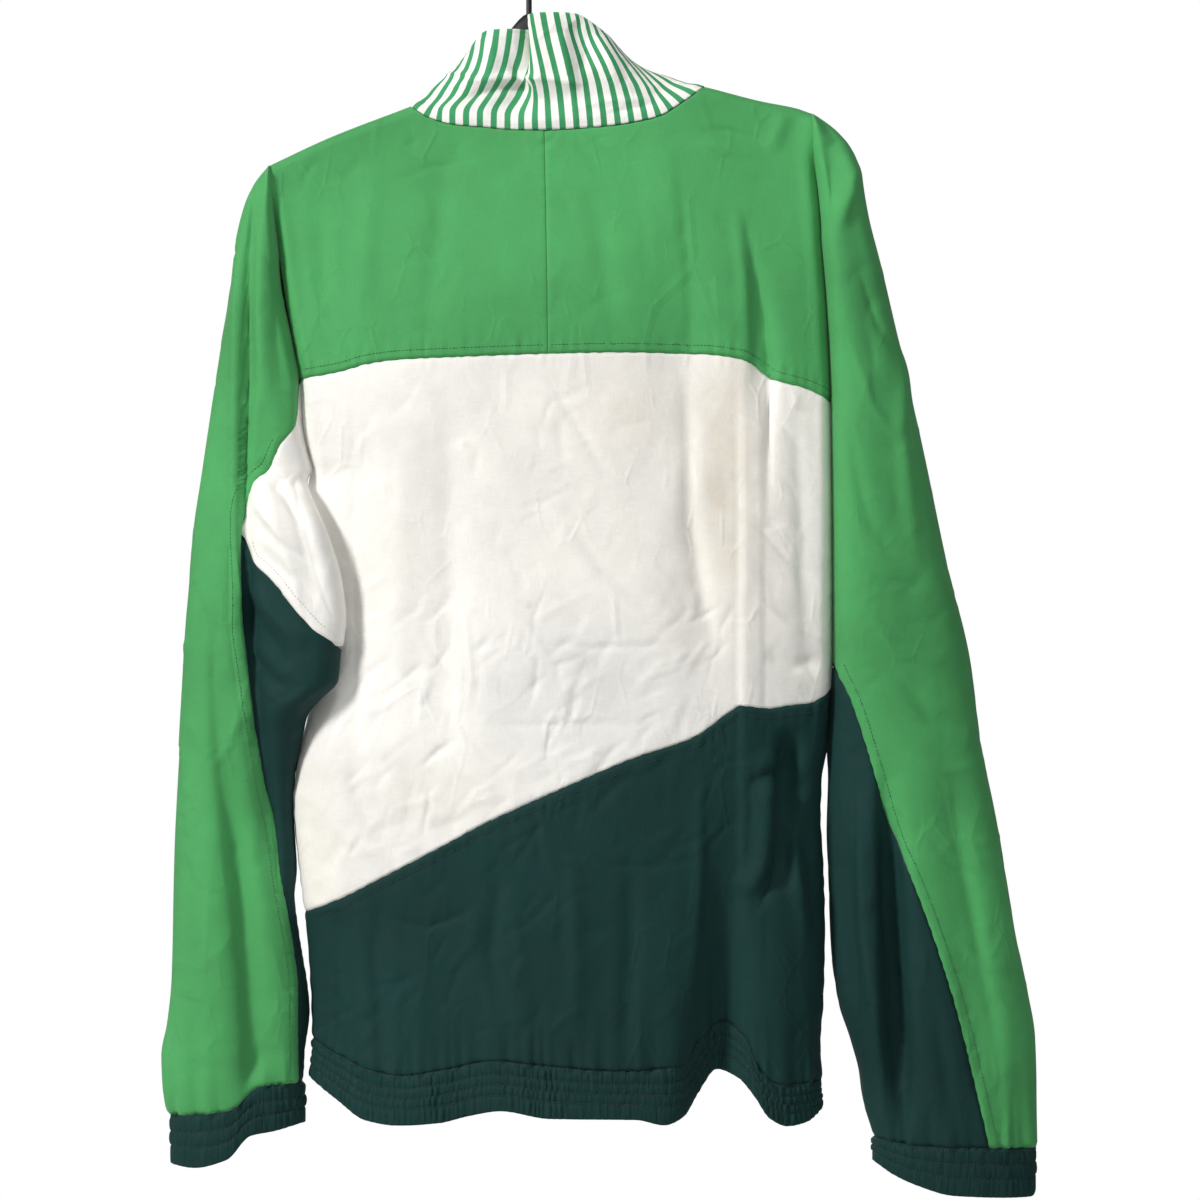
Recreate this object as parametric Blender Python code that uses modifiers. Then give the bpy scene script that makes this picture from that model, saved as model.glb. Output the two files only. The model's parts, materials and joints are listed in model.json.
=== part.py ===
"""Track jacket hanging on a coat hanger, zipped closed and flat, as its back is seen on a rail.

Metres, +Z up. The origin is where the rod bears in the hanger's hook. The jacket's front faces -Y
and the wearer's left is +X. The cut is given in millimetres: x to the wearer's left and down below
the rod. Each cloth piece is a thin wall on one of three flattened tubes: the body and two sleeves.
BACK and FRONT are the two sheets of a tube. They run together over the shoulders, and a sleeve
leaves the body at a fold line that ends at the underarm.
"""

import math

import bmesh
import bpy
from mathutils import Matrix, Vector

MM = 0.001
BACK = 1
FRONT = -1

CLOTH = 1.2
SEAM_HALF_GAP = 0.25
SEAM_X_GAP = 0.6
WING_SEAM_X_GAP = 1.0
SIDE_HALF_GAP = 0.4
UNDERARM_HALF_GAP = 2.0
FOLD_CLEARANCE = 1.6
SHIFT_FADE_LEFT = 14
SHIFT_FADE_RIGHT = 35
UNDERARM_REACH = 28
CUFF_TILT_TOP = 640
COLLAR_GAP = 1.1
COLLAR_END_GAP = 0.5
ZIP_SLOT_HALF = 3.5
WELD = 0.00001

OVER_HANGER = 7.0
DRAPE_LENGTH = 170.0
ROUNDNESS = 0.9

HANGER_THICKNESS = 10.0
WIRE_RADIUS = 2.0
HOOK_RADIUS = 20.0
STEM_FOOT = 78.0
STEM_TOP = 46.0
STEM_X = 0.7

# Outlines: rows of (down, x).
FOLD_LEFT = (
    (175, 185), (214, 181), (259, 175), (305, 167), (327, 163), (359, 161), (390, 154),
)
BODY_SIDE_LEFT = (
    (390, 154), (399, 151), (408, 150.5), (436, 149), (474, 143), (522, 144), (545, 148),
    (565, 157), (590, 163), (606, 166), (626, 168), (645, 166), (684, 162), (728, 157), (793, 154), (824, 157),
)
FOLD_RIGHT = (
    (138, -200), (163, -201), (192, -204), (231, -207), (270, -210), (341, -213), (454, -214),
    (536, -214), (586, -211),
)
BODY_SIDE_RIGHT = (
    (586, -211), (607, -207), (634, -206), (674, -208), (714, -209), (765, -208), (797, -206),
    (829, -207),
)
OUTER_LEFT = (
    (175, 185), (189, 196), (204, 202), (239, 208), (267, 213), (327, 223), (395, 233),
    (437, 239), (490, 243), (550, 246), (662, 252), (749, 254), (782, 257), (804, 261),
    (826, 260), (846, 255),
)
INNER_LEFT = (
    (390, 154), (399, 157.5), (408, 154.5), (436, 142), (474, 131), (496, 129), (522, 133),
    (540, 135), (552, 148), (565, 161), (584, 164), (600, 168), (611, 170), (652, 172),
    (697, 171), (724, 166), (749, 161.5), (773, 158), (793, 156.5), (824, 159.5),
)
OUTER_RIGHT = (
    (138, -200), (141, -205), (150, -217), (159, -225), (169, -230), (185, -235), (215, -241),
    (242, -248), (280, -257), (324, -267), (382, -280), (454, -295), (525, -312), (586, -320),
    (635, -330), (716, -344), (760, -353), (790, -358), (824, -359), (866, -359),
)
INNER_RIGHT = (
    (586, -211), (607, -212), (647, -211), (674, -212), (728, -214), (769, -219), (797, -228),
    (819, -234), (834, -236), (866, -243),
)
CENTRE = ((130, -10), (310, -13), (850, -13))

# Seams along a sleeve: rows of (down, x).
GREEN_EDGE_LEFT = (
    (327, 163), (345, 163.6), (359, 165), (373, 175), (391, 184), (400, 195), (411, 200),
    (425, 203), (440, 204), (497, 204), (537, 199), (584, 192), (609, 188), (640, 181),
    (684, 175), (717, 170), (749, 165.5), (773, 163.5), (824, 163.5),
)
WING_HEM_LEFT = (
    (440, 202.2), (454, 197), (464, 186), (473, 177), (485, 167), (498, 156), (506, 148),
    (511, 139), (518, 133),
)
GREEN_EDGE_RIGHT = (
    (525, -214), (537, -219), (555, -227), (599, -241), (643, -253), (677, -268), (716, -283),
    (768, -300), (814, -312), (866, -324),
)

# Lines across the body: rows of (x, down).
RIDGE = (
    (185, 175), (142, 155), (85, 133), (0, 100), (-60, 105), (-124, 119), (-163, 129),
    (-188, 134), (-200, 138),
)
NECK_BACK = (
    (85, 133), (72, 141), (55, 146), (33, 148), (9, 150), (-11, 150), (-57, 147), (-76, 144),
    (-92, 140), (-107, 131), (-124, 119),
)
NECK_FRONT = (
    (85, 133), (72, 152), (55, 170), (28, 190), (5, 201), (-31, 201), (-60, 190), (-92, 165),
    (-110, 142), (-124, 119),
)
YOKE_SEAM = (
    (163, 327), (133, 322), (115, 317), (93, 314), (48, 312), (-13, 310), (-64, 309),
    (-121, 310), (-146, 313), (-158, 318), (-170, 327), (-195, 334), (-214, 343),
)
WAIST_SEAM_BACK = (
    (160, 704), (133, 693), (104, 678), (53, 651), (33, 640), (-4, 623), (-45, 605),
    (-74, 593), (-115, 579), (-141, 561), (-148, 557), (-168, 559), (-182, 557), (-199, 555),
    (-214, 546),
)
WAIST_SEAM_FRONT = ((160, 704), (-13, 622), (-214, 546))
HEM_SEAM_BACK = (
    (153, 793), (146, 798), (130, 805), (113, 812), (90, 816), (61, 812), (23, 805),
    (-10, 808), (-64, 812), (-106, 809), (-121, 792), (-136, 780), (-152, 790), (-163, 814),
    (-178, 824), (-206, 823),
)
HEM_EDGE_BACK = (
    (156, 820), (136, 834), (115, 848), (94, 851), (63, 849), (42, 844), (19, 840), (-14, 845),
    (-75, 846), (-95, 850), (-108, 845), (-119, 829), (-132, 814), (-147, 819), (-158, 831),
    (-169, 847), (-182, 853), (-195, 851), (-207, 843),
)
HEM_SEAM_FRONT = (
    (153, 793), (130, 782), (90, 772), (40, 768), (-60, 768), (-130, 772), (-180, 790),
    (-206, 823),
)
HEM_EDGE_FRONT = (
    (156, 820), (130, 815), (90, 809), (40, 806), (-60, 806), (-130, 810), (-180, 828),
    (-207, 843),
)
CUFF_SEAM_LEFT = ((255, 848), (212, 843), (190, 826), (162, 824))
CUFF_EDGE_LEFT = ((254, 882), (238, 884), (214, 878), (197, 861), (181, 858), (162, 853))
CUFF_SEAM_RIGHT = ((-243, 863), (-275, 868), (-322, 869), (-359, 870))
CUFF_EDGE_RIGHT = (
    (-244, 880), (-256, 888), (-271, 895), (-300, 903), (-354, 905), (-360, 901),
)

# How far each sheet stands off the hanging plane: rows of (down, y).
BODY_DEPTH = {
    BACK: ((100, 12), (150, 16), (200, 24), (310, 36), (430, 44), (550, 50), (700, 55), (850, 54)),
    FRONT: ((100, 12), (150, 16), (200, 24), (310, 38), (430, 46), (550, 52), (700, 55), (850, 50)),
}
SLEEVE_DEPTH_LEFT = (
    (175, 5), (205, 12), (270, 19), (390, 24), (560, 27), (700, 29), (800, 29), (846, 23),
)
SLEEVE_DEPTH_RIGHT = (
    (138, 4), (150, 9), (185, 16), (270, 23), (400, 28), (600, 31), (760, 32), (866, 26),
)
VALLEY_LEFT = {
    BACK: ((175, 9), (320, 10), (390, 7)),
    FRONT: ((175, -9), (300, -10), (345, -6), (390, 7)),
}
VALLEY_RIGHT = {
    BACK: ((138, 9), (500, 10), (586, 0)),
    FRONT: ((138, -9), (500, -10), (586, 0)),
}
BODY_RIM_LEFT = ((390, 7), (440, 2), (500, 0))
BODY_RIM_RIGHT = ((586, 0), (850, 0))
# The left underarm is folded forward over the back, so its inner rim stands clear of the body.
SLEEVE_RIM_LEFT = (
    (390, 7), (399, 12), (408, 20), (436, 29), (470, 31), (530, 30), (548, 27), (560, 20),
    (575, 12), (590, 7), (620, 2), (660, 0),
)
SLEEVE_RIM_RIGHT = ((586, 0), (866, 0))
POUCH_FLATNESS = ((385, 0), (420, 0.9), (550, 0.9), (600, 0.2), (650, 0))

# Largest folds: tube, sheet, x and down at both ends, half width, depth (inwards), length over
# which each end fades, as a share of the fold.
FOLDS = (
    ("body", BACK, -103, 172, -112, 405, 22, 7, 0.4, 0.5),
    ("body", BACK, -156, 222, -166, 370, 11, 9, 0.5, 0.4),
    ("body", BACK, -112, 400, -131, 590, 18, 5, 0.3, 0.5),
    ("body", BACK, -145, 590, -131, 850, 19, 36, 1.0, 0.0),
    ("body", BACK, -184, 570, -178, 700, 9, 14, 0.2, 0.5),
    ("body", BACK, 123, 330, 121, 700, 10, 4, 0.3, 0.4),
    ("body", BACK, 147, 380, 142, 560, 14, 12, 0.1, 0.3),
    ("body", BACK, 60, 660, 45, 850, 24, 6, 0.7, 0.0),
    ("body", FRONT, 96, 215, 104, 420, 24, 8, 0.4, 0.5),
    ("body", FRONT, -118, 230, -128, 470, 24, 8, 0.4, 0.5),
    ("body", FRONT, 70, 540, 78, 850, 24, 12, 0.9, 0.0),
    ("body", FRONT, -112, 560, -104, 850, 24, 14, 0.9, 0.0),
    ("left", BACK, 207, 420, 176, 720, 9, 12, 0.3, 0.3),
    ("left", BACK, 226, 597, 205, 846, 12, 7, 0.3, 0.2),
    ("left", FRONT, 214, 430, 204, 820, 12, 8, 0.3, 0.2),
    ("right", BACK, -249, 600, -266, 860, 10, 9, 0.3, 0.2),
    ("right", BACK, -292, 560, -322, 850, 14, 5, 0.3, 0.2),
    ("right", FRONT, -262, 480, -300, 850, 14, 9, 0.3, 0.2),
)

# The collar's top edge above each neckline: x on the neckline, then x, down and y of the edge.
COLLAR_TOP = {
    BACK: (
        (85, 50, 102, -12), (72, 44, 94, -3), (53, 30, 80, 11), (33, 12, 79, 18),
        (11, 2, 79, 17), (-8, -1, 73, 21), (-18, -7, 69, 24), (-50, -31, 69, 22),
        (-78, -48, 78, 14), (-102, -60, 89, 2), (-124, -68, 102, -14),
    ),
    FRONT: (
        (85, 50, 102, -12), (72, 48, 110, -21), (55, 40, 118, -34), (28, 22, 127, -50),
        (5, 4, 130, -56), (-11, -11, 130, -56), (-31, -30, 130, -56), (-60, -44, 127, -50),
        (-92, -58, 120, -37), (-110, -66, 112, -26), (-124, -68, 102, -14),
    ),
}
COLLAR_ROWS = 5

# Sections of the hanger's arms: x, down of its top and its height.
HANGER = (
    (177, 177.6, 6), (171, 172.3, 11), (142, 158.2, 13), (113, 147, 13), (85, 138.6, 11),
    (70, 134, 11), (56, 130, 12), (38, 120, 16), (17, 90, 32), (0, 67, 46), (-16, 88, 34),
    (-38, 116, 15), (-78, 121, 12), (-100, 123, 12), (-124, 125.5, 12), (-163, 131.5, 13),
    (-188, 137.5, 11), (-194, 141.5, 6),
)

# Columns from the side to the neck and on to the centre, and rows in each panel.
SIDE_COLUMNS = 4
NECK_COLUMNS = 6
YOKE_ROWS = 7
LOWER_ROWS = 5
MIDDLE_ROWS_BELOW = 6
MIDDLE_ROWS_WING = 3
MIDDLE_ROWS_ABOVE = 2
WING_TOP = 364
WING_START = 440
WING_END = 515
THREE_WAY_RIGHT = 525
HEM_ROWS = 2
CUFF_ROWS = 2
CUFF_DRAW_IN = 0.85
SLEEVE_COLUMNS = 4
SLEEVE_STEP = 32
SLEEVE_FINE_STEP = 15
FINE_FROM = 380
FINE_TO_LEFT = 565
EXTRA_ROWS_LEFT = (340, 352)

ZIP_TAPE_HALF = 9.0
ZIP_TAPE_THICKNESS = 0.9
ZIP_TAPE_GAP = 0.6
CHAIN_HALF = 2.6
CHAIN_PROUD = 1.2
ZIP_STEPS = 26
SLIDER_AT = 0.82
SLIDER_WIDTH = 8.0
SLIDER_LENGTH = 10.0
PLATE_GAP = 0.3
PLATE_THICKNESS = 1.2
BRIDGE_WIDTH = 2.0
BRIDGE_BAR = 1.2
BRIDGE_LENGTH = 8.0
WINDOW_LENGTH = 5.2
WINDOW_HEIGHT = 2.2
PIN_DROP = 1.2
PULL_BAR = 1.2
PULL_LEG = 5.0
PULL_WIDTH = 6.4
PULL_LENGTH = 24.0

COLOURS = {
    "light_green": ((0.075, 0.39, 0.11, 1), 0.75, 0.0),
    "dark_green": ((0.016, 0.068, 0.06, 1), 0.75, 0.0),
    "white": ((0.85, 0.83, 0.78, 1), 0.75, 0.0),
    "stripe": ((0.6, 0.78, 0.62, 1), 0.75, 0.0),
    "zip_white": ((0.8, 0.79, 0.75, 1), 0.5, 0.0),
    "black_plastic": ((0.008, 0.008, 0.009, 1), 0.4, 0.0),
    "black_metal": ((0.01, 0.01, 0.01, 1), 0.3, 0.9),
}


class Curve:
    """A smooth curve through rows of (at, value) that never swings past them."""

    def __init__(self, rows):
        rows = sorted(rows)
        self.at = [row[0] for row in rows]
        self.value = [row[1] for row in rows]
        steps = [
            (self.value[i + 1] - self.value[i]) / (self.at[i + 1] - self.at[i])
            for i in range(len(rows) - 1)
        ]
        self.slope = [steps[0]]
        for before, after in zip(steps, steps[1:]):
            together = before * after > 0
            self.slope.append(2 * before * after / (before + after) if together else 0.0)
        self.slope.append(steps[-1])

    def __call__(self, at):
        if at <= self.at[0]:
            return self.value[0]
        if at >= self.at[-1]:
            return self.value[-1]
        i = max(k for k in range(len(self.at) - 1) if self.at[k] <= at)
        width = self.at[i + 1] - self.at[i]
        t = (at - self.at[i]) / width
        first = self.value[i] * (1 + 2 * t) + self.slope[i] * width * t
        last = self.value[i + 1] * (3 - 2 * t) - self.slope[i + 1] * width * (1 - t)
        return first * (1 - t) ** 2 + last * t**2


def mix(a, b, t):
    return a + (b - a) * t


def ease(t):
    t = min(1.0, max(0.0, t))
    return t * t * (3 - 2 * t)


def bell(t):
    return math.exp(-t * t)


def round_profile(share):
    """Height of a flattened tube's sheet at this share of its width, 0 at both rims."""
    share = min(1.0, max(0.0, share))
    return (2 * math.sqrt(share * (1 - share))) ** ROUNDNESS


def over_arm(depth):
    """The cloth's turn over the hanger's arm, 0 on the shoulder ridge and 1 below it."""
    t = 1 - min(1.0, max(0.0, depth / OVER_HANGER))
    return math.sqrt(1 - t * t)


class Sleeve:
    """One sleeve's outlines, seams and depths."""

    def __init__(self, name, sign, tables):
        self.name = name
        self.sign = sign
        for key, rows in tables.items():
            setattr(self, key, Curve(rows))
        self.top = tables["fold"][0][0]
        self.underarm = tables["fold"][-1][0]
        self.cuff_line = tables["outer"][-1][0]


LEFT = Sleeve("left", 1, {
    "fold": FOLD_LEFT,
    "outer": OUTER_LEFT,
    "inner": INNER_LEFT,
    "side": BODY_SIDE_LEFT,
    "depth": SLEEVE_DEPTH_LEFT,
    "rim": SLEEVE_RIM_LEFT,
    "body_rim": BODY_RIM_LEFT,
    "cuff_seam": CUFF_SEAM_LEFT,
    "cuff_edge": CUFF_EDGE_LEFT,
})
RIGHT = Sleeve("right", -1, {
    "fold": FOLD_RIGHT,
    "outer": OUTER_RIGHT,
    "inner": INNER_RIGHT,
    "side": BODY_SIDE_RIGHT,
    "depth": SLEEVE_DEPTH_RIGHT,
    "rim": SLEEVE_RIM_RIGHT,
    "body_rim": BODY_RIM_RIGHT,
    "cuff_seam": CUFF_SEAM_RIGHT,
    "cuff_edge": CUFF_EDGE_RIGHT,
})
VALLEYS = {
    "left": {sheet: Curve(rows) for sheet, rows in VALLEY_LEFT.items()},
    "right": {sheet: Curve(rows) for sheet, rows in VALLEY_RIGHT.items()},
}
DEPTH = {sheet: Curve(rows) for sheet, rows in BODY_DEPTH.items()}
RIDGE_LINE = Curve(RIDGE)
NECKLINE = {BACK: Curve(NECK_BACK), FRONT: Curve(NECK_FRONT)}
NECK_LEFT = NECK_BACK[0][0]
NECK_RIGHT = NECK_BACK[-1][0]
CENTRE_LINE = Curve(CENTRE)
YOKE_LINE = Curve(YOKE_SEAM)
WAIST_LINE = {BACK: Curve(WAIST_SEAM_BACK), FRONT: Curve(WAIST_SEAM_FRONT)}
HEM_LINE = {BACK: Curve(HEM_SEAM_BACK), FRONT: Curve(HEM_SEAM_FRONT)}
EDGE_LINE = {BACK: Curve(HEM_EDGE_BACK), FRONT: Curve(HEM_EDGE_FRONT)}
COLLAR_EDGE = {
    sheet: [Curve([(row[0], row[column]) for row in rows]) for column in (1, 3, 2)]
    for sheet, rows in COLLAR_TOP.items()
}
GREEN_LEFT = Curve(GREEN_EDGE_LEFT)
GREEN_RIGHT = Curve(GREEN_EDGE_RIGHT)
WING_HEM = Curve(WING_HEM_LEFT)
FLATNESS = Curve(POUCH_FLATNESS)


def fold_depth(tube, sheet, x, down):
    """How far the folds of this tube's sheet draw it inwards here."""
    total = 0.0
    for name, on, x0, down0, x1, down1, width, depth, fade_in, fade_out in FOLDS:
        if name != tube or on != sheet or not down0 < down <= down1 + 60:
            continue
        t = min(1.0, (down - down0) / (down1 - down0))
        if fade_out and down > down1:
            continue
        strength = ease(t / fade_in) if fade_in else 1.0
        if fade_out:
            strength *= ease((1 - t) / fade_out)
        total += depth * strength * bell((x - mix(x0, x1, t)) / width)
    return total


def underarm_gap(sleeve, down, least):
    """Half the gap between the sheets' edges, wider where four of them meet at the underarm."""
    wide = UNDERARM_HALF_GAP * ease(1 - abs(down - sleeve.underarm) / UNDERARM_REACH)
    return max(least, wide)


def valley(sleeve, sheet, down):
    """y of the fold line between body and sleeve, before the cloth's turn over the arm."""
    level = VALLEYS[sleeve.name][sheet](down)
    depth = down - RIDGE_LINE(sleeve.fold(down))
    near = mix(sheet * OVER_HANGER, level, ease(depth / DRAPE_LENGTH))
    return near + sheet * underarm_gap(sleeve, down, 0.0)


def body_rim(sleeve, sheet, down, gap=SIDE_HALF_GAP):
    """y of the body's side: the fold line, then the side seam below the underarm."""
    if down <= sleeve.underarm:
        return valley(sleeve, sheet, down)
    return sleeve.body_rim(down) + sheet * (underarm_gap(sleeve, down, gap) if gap else 0.0)


def sleeve_rim(sleeve, sheet, down, gap=0.0):
    """y of the sleeve's inner rim: the fold line, then its own edge below the underarm."""
    if down <= sleeve.underarm:
        depth = down - RIDGE_LINE(sleeve.fold(down))
        return over_arm(depth) * valley(sleeve, sheet, down)
    return sleeve.rim(down) + sheet * (underarm_gap(sleeve, down, gap) if gap else 0.0)


def side_of(sleeve, down):
    return sleeve.fold(down) if down <= sleeve.underarm else sleeve.side(down)


def body_y(sheet, x, down, gap=SIDE_HALF_GAP):
    left = side_of(LEFT, down)
    right = side_of(RIGHT, down)
    share = min(1.0, max(0.0, (left - x) / (left - right)))
    profile = round_profile(share)
    rim = mix(body_rim(LEFT, sheet, down, gap), body_rim(RIGHT, sheet, down, gap), share)
    depth = down - RIDGE_LINE(x)
    level = sheet * (DEPTH[sheet](down) - fold_depth("body", sheet, x, down))
    hang = mix(sheet * OVER_HANGER, level, ease(depth / DRAPE_LENGTH))
    return over_arm(depth) * mix(rim, hang, profile)


def sleeve_y(sleeve, sheet, x, down, gap=0.0):
    outer = sleeve.outer(down)
    inner = sleeve.fold(down) if down <= sleeve.underarm else sleeve.inner(down)
    share = 1.0 if outer == inner else (outer - x) / (outer - inner)
    share = min(1.0, max(0.0, share))
    lift = sleeve_rim(sleeve, sheet, down, gap) * ease((share - 0.3) / 0.65)
    depth = sleeve.depth(down) - fold_depth(sleeve.name, sheet, x, down)
    if sheet == FRONT and sleeve is LEFT:
        depth *= 1 - FLATNESS(down) * ease((share - 0.35) / 0.3)
    return lift + sheet * depth * round_profile(share)


def cuff_tilt(sleeve, x, down):
    """Drop that turns level rows of the sleeve into its slanted cuff seam."""
    turned = ease((down - CUFF_TILT_TOP) / (sleeve.cuff_line - CUFF_TILT_TOP))
    return (sleeve.cuff_seam(x) - sleeve.cuff_line) * turned


def point(x, y, down):
    return Vector((x * MM, y * MM, -down * MM))


def rims_first(count, both=False):
    """Shares from 0 to 1 that crowd at 0, or at both ends, where a tube turns round."""
    if both:
        return [(1 - math.cos(math.pi * i / count)) / 2 for i in range(count + 1)]
    return [1 - math.cos(math.pi / 2 * i / count) for i in range(count + 1)]


def half_columns(sleeve):
    """Columns of a body half as shares from its side to the centre, one through the neck's end."""
    neck = NECK_LEFT if sleeve is LEFT else NECK_RIGHT
    down = RIDGE_LINE(neck)
    side = side_of(sleeve, down)
    at_neck = (neck - side) / (CENTRE_LINE(down) - side)
    shares = [at_neck * share for share in rims_first(SIDE_COLUMNS)]
    shares += [mix(at_neck, 1, share) for share in rims_first(NECK_COLUMNS, both=True)[1:]]
    return shares, at_neck


def fold_shift(sleeve, down):
    """Inset of a panel that only meets the sleeve's fold line, not one that runs on over it."""
    if sleeve is RIGHT:
        return FOLD_CLEARANCE * ease((sleeve.underarm + SHIFT_FADE_RIGHT - down) / SHIFT_FADE_RIGHT)
    return FOLD_CLEARANCE * ease((WING_TOP - down) / SHIFT_FADE_LEFT)


def column_x(sleeve, share, at_neck, down, centre_gap, inset):
    side = side_of(sleeve, down)
    middle = CENTRE_LINE(down)
    spread = ease((share - at_neck) / (1 - at_neck)) if share > at_neck else 0.0
    x = mix(side, middle, share) + sleeve.sign * centre_gap * spread
    if inset:
        x -= sleeve.sign * fold_shift(sleeve, down) * (1 - share) ** 4
    return x


def settle(line, x_at, start):
    """The down where a column meets a line across the body."""
    down = start
    for _ in range(30):
        down = line(x_at(down))
    return down


def body_patch(sleeve, sheet, top, bottom, rows, centre_gap, inset=True, gap=SIDE_HALF_GAP):
    """Points of half a body panel between two lines, as columns from the side to the centre."""
    shares, at_neck = half_columns(sleeve)
    columns = []
    for share in shares:

        def x_at(down):
            return column_x(sleeve, share, at_neck, down, centre_gap, inset)

        high = settle(top, x_at, 300)
        low = settle(bottom, x_at, 700)
        column = []
        for row in rows:
            down = mix(low, high, row)
            x = x_at(down)
            column.append(point(x, body_y(sheet, x, down, gap), down))
        columns.append(column)
    return columns


def shifted(line, by):
    return lambda x: line(x) + by


def yoke_top(sheet):
    """The shoulder ridge, and between its ends the neckline."""

    def line(x):
        return NECKLINE[sheet](x) if NECK_RIGHT < x < NECK_LEFT else RIDGE_LINE(x)

    return line


def yoke_rows():
    return [1 - (1 - math.cos(math.pi / 2 * i / YOKE_ROWS)) for i in range(YOKE_ROWS, -1, -1)]


def middle_rows():
    """Rows of the middle panel, from its seam to the lower panel up to the yoke."""

    def edge_x(down):
        return column_x(LEFT, 0.0, 1.0, down, 0.0, True)

    low = settle(shifted(WAIST_LINE[BACK], -SEAM_HALF_GAP), edge_x, 700)
    high = settle(shifted(YOKE_LINE, SEAM_HALF_GAP), edge_x, 300)
    marks = [low, LEFT.underarm, WING_TOP, high]
    counts = [MIDDLE_ROWS_BELOW, MIDDLE_ROWS_WING, MIDDLE_ROWS_ABOVE]
    downs = [low]
    for start, end, count in zip(marks, marks[1:], counts):
        downs += [mix(start, end, i / count) for i in range(1, count + 1)]
    return [(low - down) / (low - high) for down in downs], downs


def even_rows(count):
    return [i / count for i in range(count + 1)]


def sleeve_patch(sleeve, sheet, downs, start, end, crowd, gap=0.0):
    """Points of a sleeve panel, as rows from its outer boundary to its inner one."""
    shares = {
        "outer": rims_first(SLEEVE_COLUMNS),
        "inner": [1 - share for share in reversed(rims_first(SLEEVE_COLUMNS))],
        "both": rims_first(SLEEVE_COLUMNS + 1, both=True),
    }[crowd]
    rows = []
    for down in downs:
        row = []
        for share in shares:
            x = mix(start(down), end(down), share)
            y = sleeve_y(sleeve, sheet, x, down, gap)
            row.append(point(x, y, down + cuff_tilt(sleeve, x, down)))
        rows.append(row)
    return rows


def steps(start, end, step):
    count = max(1, round((end - start) / step))
    return [mix(start, end, i / count) for i in range(count + 1)]


def yoke_edge_downs(sleeve):
    """Rows of the yoke where it runs on over the fold line into the sleeve."""
    low = settle(shifted(YOKE_LINE, -SEAM_HALF_GAP), sleeve.fold, 330)
    return [mix(low, sleeve.top, row) for row in reversed(yoke_rows())]


def wing_joint_downs():
    """Rows of the white panel where it runs on over the fold line under the left arm."""
    return sorted(
        down for down in middle_rows()[1] if WING_TOP - 0.01 <= down <= LEFT.underarm + 0.01
    )


def sleeve_downs(sleeve):
    """All rows of a sleeve, so that the panels of both its sheets share them along each seam."""
    downs = yoke_edge_downs(sleeve)
    if sleeve is LEFT:
        marks = [LEFT.underarm, WING_START, WING_END, FINE_TO_LEFT]
        downs += [*EXTRA_ROWS_LEFT, *wing_joint_downs()]
    else:
        marks = [downs[-1], THREE_WAY_RIGHT, THREE_WAY_RIGHT + 6, sleeve.underarm]
    for start, end in zip(marks, marks[1:]):
        downs += steps(start, end, SLEEVE_FINE_STEP if start > FINE_FROM else SLEEVE_STEP)[1:]
    return downs + steps(marks[-1], sleeve.cuff_line - SEAM_HALF_GAP, SLEEVE_STEP)[1:]


def add_grid(mesh, rows):
    """Adds a net of quads through rows of points, with each repeated point made once."""
    verts = [[mesh.verts.new(co) for co in row] for row in rows]
    for above, below in zip(verts, verts[1:]):
        for i in range(len(above) - 1):
            mesh.faces.new((above[i], above[i + 1], below[i + 1], below[i]))


def material(name):
    found = bpy.data.materials.get(name)
    if found:
        return found
    colour, roughness, metallic = COLOURS[name]
    made = bpy.data.materials.new(name)
    made.use_nodes = True
    shader = made.node_tree.nodes["Principled BSDF"]
    shader.inputs["Base Color"].default_value = colour
    shader.inputs["Roughness"].default_value = roughness
    shader.inputs["Metallic"].default_value = metallic
    made.diffuse_color = colour
    return made


def add_object(name, mesh, look):
    obj = bpy.data.objects.new(name, mesh)
    mesh.materials.append(material(look))
    bpy.data.collections["track_jacket"].objects.link(obj)
    return obj


def cloth(name, look, patches):
    """One sewn piece: its patches joined along shared edges, then thickened to a wall."""
    work = bmesh.new()
    for patch in patches:
        add_grid(work, patch)
    bmesh.ops.remove_doubles(work, verts=work.verts, dist=WELD)
    bmesh.ops.dissolve_degenerate(work, edges=work.edges, dist=WELD)
    bmesh.ops.recalc_face_normals(work, faces=work.faces)
    mesh = bpy.data.meshes.new(name)
    work.to_mesh(mesh)
    work.free()
    mesh.shade_smooth()
    obj = add_object(name, mesh, look)
    wall = obj.modifiers.new("wall", "SOLIDIFY")
    wall.thickness = CLOTH * MM
    wall.offset = 0.0
    return obj


def inner_of(sleeve):
    def line(down):
        return sleeve.fold(down) if down <= sleeve.underarm else sleeve.inner(down)

    return line


def green_edge(sleeve, down):
    """The light green panel's inner boundary on a sleeve."""
    if sleeve is LEFT:
        return sleeve.fold(down) if down < YOKE_SEAM[0][1] else GREEN_LEFT(down)
    return sleeve.fold(down) if down <= THREE_WAY_RIGHT else GREEN_RIGHT(down)


def make_yoke_sleeves():
    """The light green pieces: yoke, shoulder and outer sleeve in one, from back over to front."""
    for sleeve in (LEFT, RIGHT):

        def inner_edge(down):
            return green_edge(sleeve, down)

        patches = []
        for sheet in (BACK, FRONT):
            centre_gap = SEAM_HALF_GAP if sheet == BACK else ZIP_SLOT_HALF
            seam = shifted(YOKE_LINE, -SEAM_HALF_GAP)
            patches.append(
                body_patch(sleeve, sheet, yoke_top(sheet), seam, yoke_rows(), centre_gap, False)
            )
            patches.append(
                sleeve_patch(
                    sleeve, sheet, sleeve_downs(sleeve), sleeve.outer, inner_edge, "both"
                )
            )
        cloth(f"yoke_sleeve_{sleeve.name}", "light_green", patches)


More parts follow.
